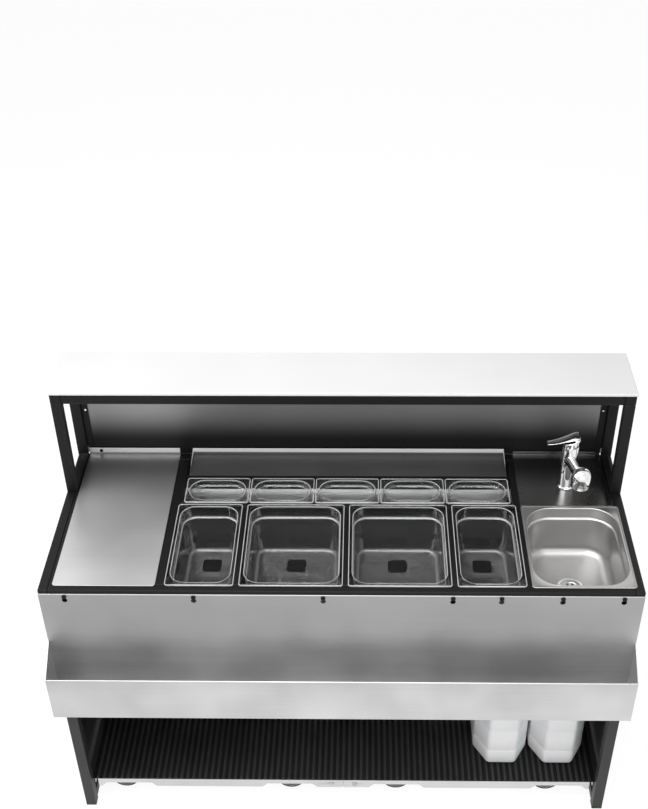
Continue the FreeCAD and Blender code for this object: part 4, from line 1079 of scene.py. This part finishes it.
def canHandle(bm, middle, back, top):
    # the handle's bar follows an arch with rounded corners
    bar, width, turn = can["handleBar"], can["handleWidth"], can["handleTurn"]
    rear, front = back - bar / 2, back - can["handleLength"] + bar / 2
    high, foot = top + can["handleHeight"] - bar / 2, top - can["handleSink"]
    path = [(rear, foot)] + arcPoints((rear - turn, high - turn), turn, 0, 90, can["arcSteps"])
    path += arcPoints((front + turn, high - turn), turn, 90, 180, can["arcSteps"]) + [(front, foot)]
    half = Vector((width / 2, bar / 2))
    shape = roundedOutline(rectangle(-half, half), can["handleRound"], 0, steps=4)
    sections = []
    for index, (y, z) in enumerate(path):
        before, after = path[max(index - 1, 0)], path[min(index + 1, len(path) - 1)]
        across = Vector((0, after[0] - before[0], after[1] - before[1])).normalized().cross(axisX)
        sections.append([Vector((middle, y, z)) + axisX * u + across * v for u, v, _ in shape])
    loftRings(bm, sections)


def canCap(node, base):
    inner = can["neck"] + can["gap"]
    outer = inner + can["capWall"] - 0.8 * mm
    height = can["neckHeight"] + can["capWall"]
    cap = bmesh.new()
    profile = [
        (inner, can["neckHeight"]), (inner, 0), (outer, 0), (outer, height - 2 * mm),
        (outer - 0.6 * mm, height - 0.6 * mm), (outer - 2 * mm, height), (outer - 5 * mm, height),
        (outer - 6 * mm, height - 0.7 * mm),
    ]
    revolve(cap, profile, base, axisZ)
    rib = bmesh.new()
    roundedBar(
        rib, Vector((outer - can["ribSink"], -can["ribHalf"], 0.6 * mm)),
        Vector((outer + can["ribHalf"], can["ribHalf"], height - 2.5 * mm)), can["ribRound"], segments=2,
    )
    ribs = repeatShape(meshFrom(rib, "rib"), [base] * can["capRibs"], turnStep=math.tau / can["capRibs"])
    dressNode(node, joinMeshes([meshFrom(cap, "cap"), ribs], node))


def jerrycan(node, capNode):
    lows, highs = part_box(node)
    top = lows.z + can["height"]
    middle = (lows.x + highs.x) / 2
    bm = bmesh.new()
    canBody(bm, lows, highs, top)
    neckBase = Vector((middle, lows.y + can["neckFromFront"], top))
    across, bore, rise = can["neck"], can["neck"] - can["neckWall"], can["neckHeight"]
    neck = [
        (across + 3 * mm, -1 * mm), (across + 0.6 * mm, 0.4 * mm), (across, 2 * mm), (across, rise),
        (bore, rise), (bore, -0.5 * mm),
    ]
    revolve(bm, neck, neckBase, axisZ, steps=can["neckSteps"], closeStart=False)
    canHandle(bm, middle, highs.y - can["handleFromRear"], top)
    dressNode(node, meshFrom(bm, node), sharp=50)
    canCap(capNode, neckBase + axisZ * can["gap"])


jerrycan("fresh_water_can", "fresh_water_cap")
jerrycan("waste_water_can", "waste_water_cap")
print("cans done")


# Stage: white floor, soft light and the camera

cameraView = {
    "place": (0.0597, -2.4683, 2.9796), "pitch": 0.690, "yaw": -0.020, "roll": 0.009, "focalPixels": 1209.7,
    "principal": (345.73, 509.76), "image": (648, 809), "sensor": 36.0,
}


def addCamera():
    pitch, yaw, roll = cameraView["pitch"], cameraView["yaw"], cameraView["roll"]
    forward = Vector((math.sin(yaw) * math.cos(pitch), math.cos(yaw) * math.cos(pitch), -math.sin(pitch)))
    level = Vector((math.cos(yaw), -math.sin(yaw), 0))
    upright = level.cross(forward)
    right = level * math.cos(roll) - upright * math.sin(roll)
    up = level * math.sin(roll) + upright * math.cos(roll)
    data = bpy.data.cameras.new("camera")
    width, height = cameraView["image"]
    data.sensor_width = cameraView["sensor"]
    data.lens = cameraView["focalPixels"] * cameraView["sensor"] / height
    data.shift_x = (width / 2 - cameraView["principal"][0]) / height
    data.shift_y = (cameraView["principal"][1] - height / 2) / height
    camera = newObject("camera", data)
    turned = Matrix((right, up, -forward)).transposed().to_4x4()
    camera.matrix_world = Matrix.Translation(cameraView["place"]) @ turned
    bpy.context.scene.camera = camera


def seenBy(tree):
    # 1 for camera, glossy and transmission rays
    path = addNode(tree, "ShaderNodeLightPath").outputs
    seen = path["Is Camera Ray"]
    for kind in ("Is Glossy Ray", "Is Transmission Ray"):
        seen = addNode(tree, "ShaderNodeMath", {0: seen, 1: path[kind]}, operation="MAXIMUM").outputs["Value"]
    return seen


studio = {
    "floorHalf": 14.0, "floorColor": 0.97, "floorRough": 0.8, "floorGlow": 0.78, "glowStrength": 1.135,
    "worldLight": 0.36,
}
lamps = [
    ("overhead", (-0.6, -1.0, 3.6), (0.0, 0.1, 0.8), (3.2, 2.4), 95),
    ("front", (0.8, -3.4, 2.0), (0.0, 0.0, 0.6), (3.0, 1.6), 45),
    ("left", (-3.2, -0.4, 2.2), (0.0, 0.1, 0.7), (1.8, 2.2), 40),
]


def addFloor():
    mesh = bpy.data.meshes.new("floor")
    far = studio["floorHalf"]
    mesh.from_pydata([(-far, -far, 0), (far, -far, 0), (far, far, 0), (-far, far, 0)], [], [(0, 1, 2, 3)])
    material, tree, shader = newMaterial("floor_white")
    setInputs(tree, shader, {
        "Base Color": (*triple(studio["floorColor"]), 1), "Roughness": studio["floorRough"],
    })
    glow = addNode(tree, "ShaderNodeEmission", {"Strength": studio["glowStrength"]})
    share = addNode(tree, "ShaderNodeMath", {0: seenBy(tree), 1: studio["floorGlow"]}, operation="MULTIPLY")
    mix = addNode(tree, "ShaderNodeMixShader", {
        "Fac": share.outputs["Value"], 1: shader.outputs["BSDF"], 2: glow.outputs["Emission"],
    })
    setInputs(tree, tree.nodes["Material Output"], {"Surface": mix.outputs["Shader"]})
    mesh.materials.append(material)
    floor = newObject("floor", mesh)


def addLight():
    world = bpy.data.worlds.new("studio")
    bpy.context.scene.world = world
    world.use_nodes = True
    tree = world.node_tree
    level = addNode(tree, "ShaderNodeMapRange", {
        "Value": seenBy(tree), "To Min": studio["worldLight"], "To Max": 1.0,
    })
    setInputs(tree, tree.nodes["Background"], {"Strength": level.outputs["Result"], "Color": (1, 1, 1, 1)})
    for name, place, target, size, power in lamps:
        data = bpy.data.lights.new(name, "AREA")
        data.shape = "RECTANGLE"
        data.size, data.size_y = size
        data.energy = power
        lamp = newObject(name, data)
        lamp.location = place
        lamp.rotation_euler = (Vector(target) - Vector(place)).to_track_quat("-Z", "Y").to_euler()


addCamera()
addFloor()
addLight()
bpy.context.scene.view_settings.view_transform = "Standard"
print("stage done")
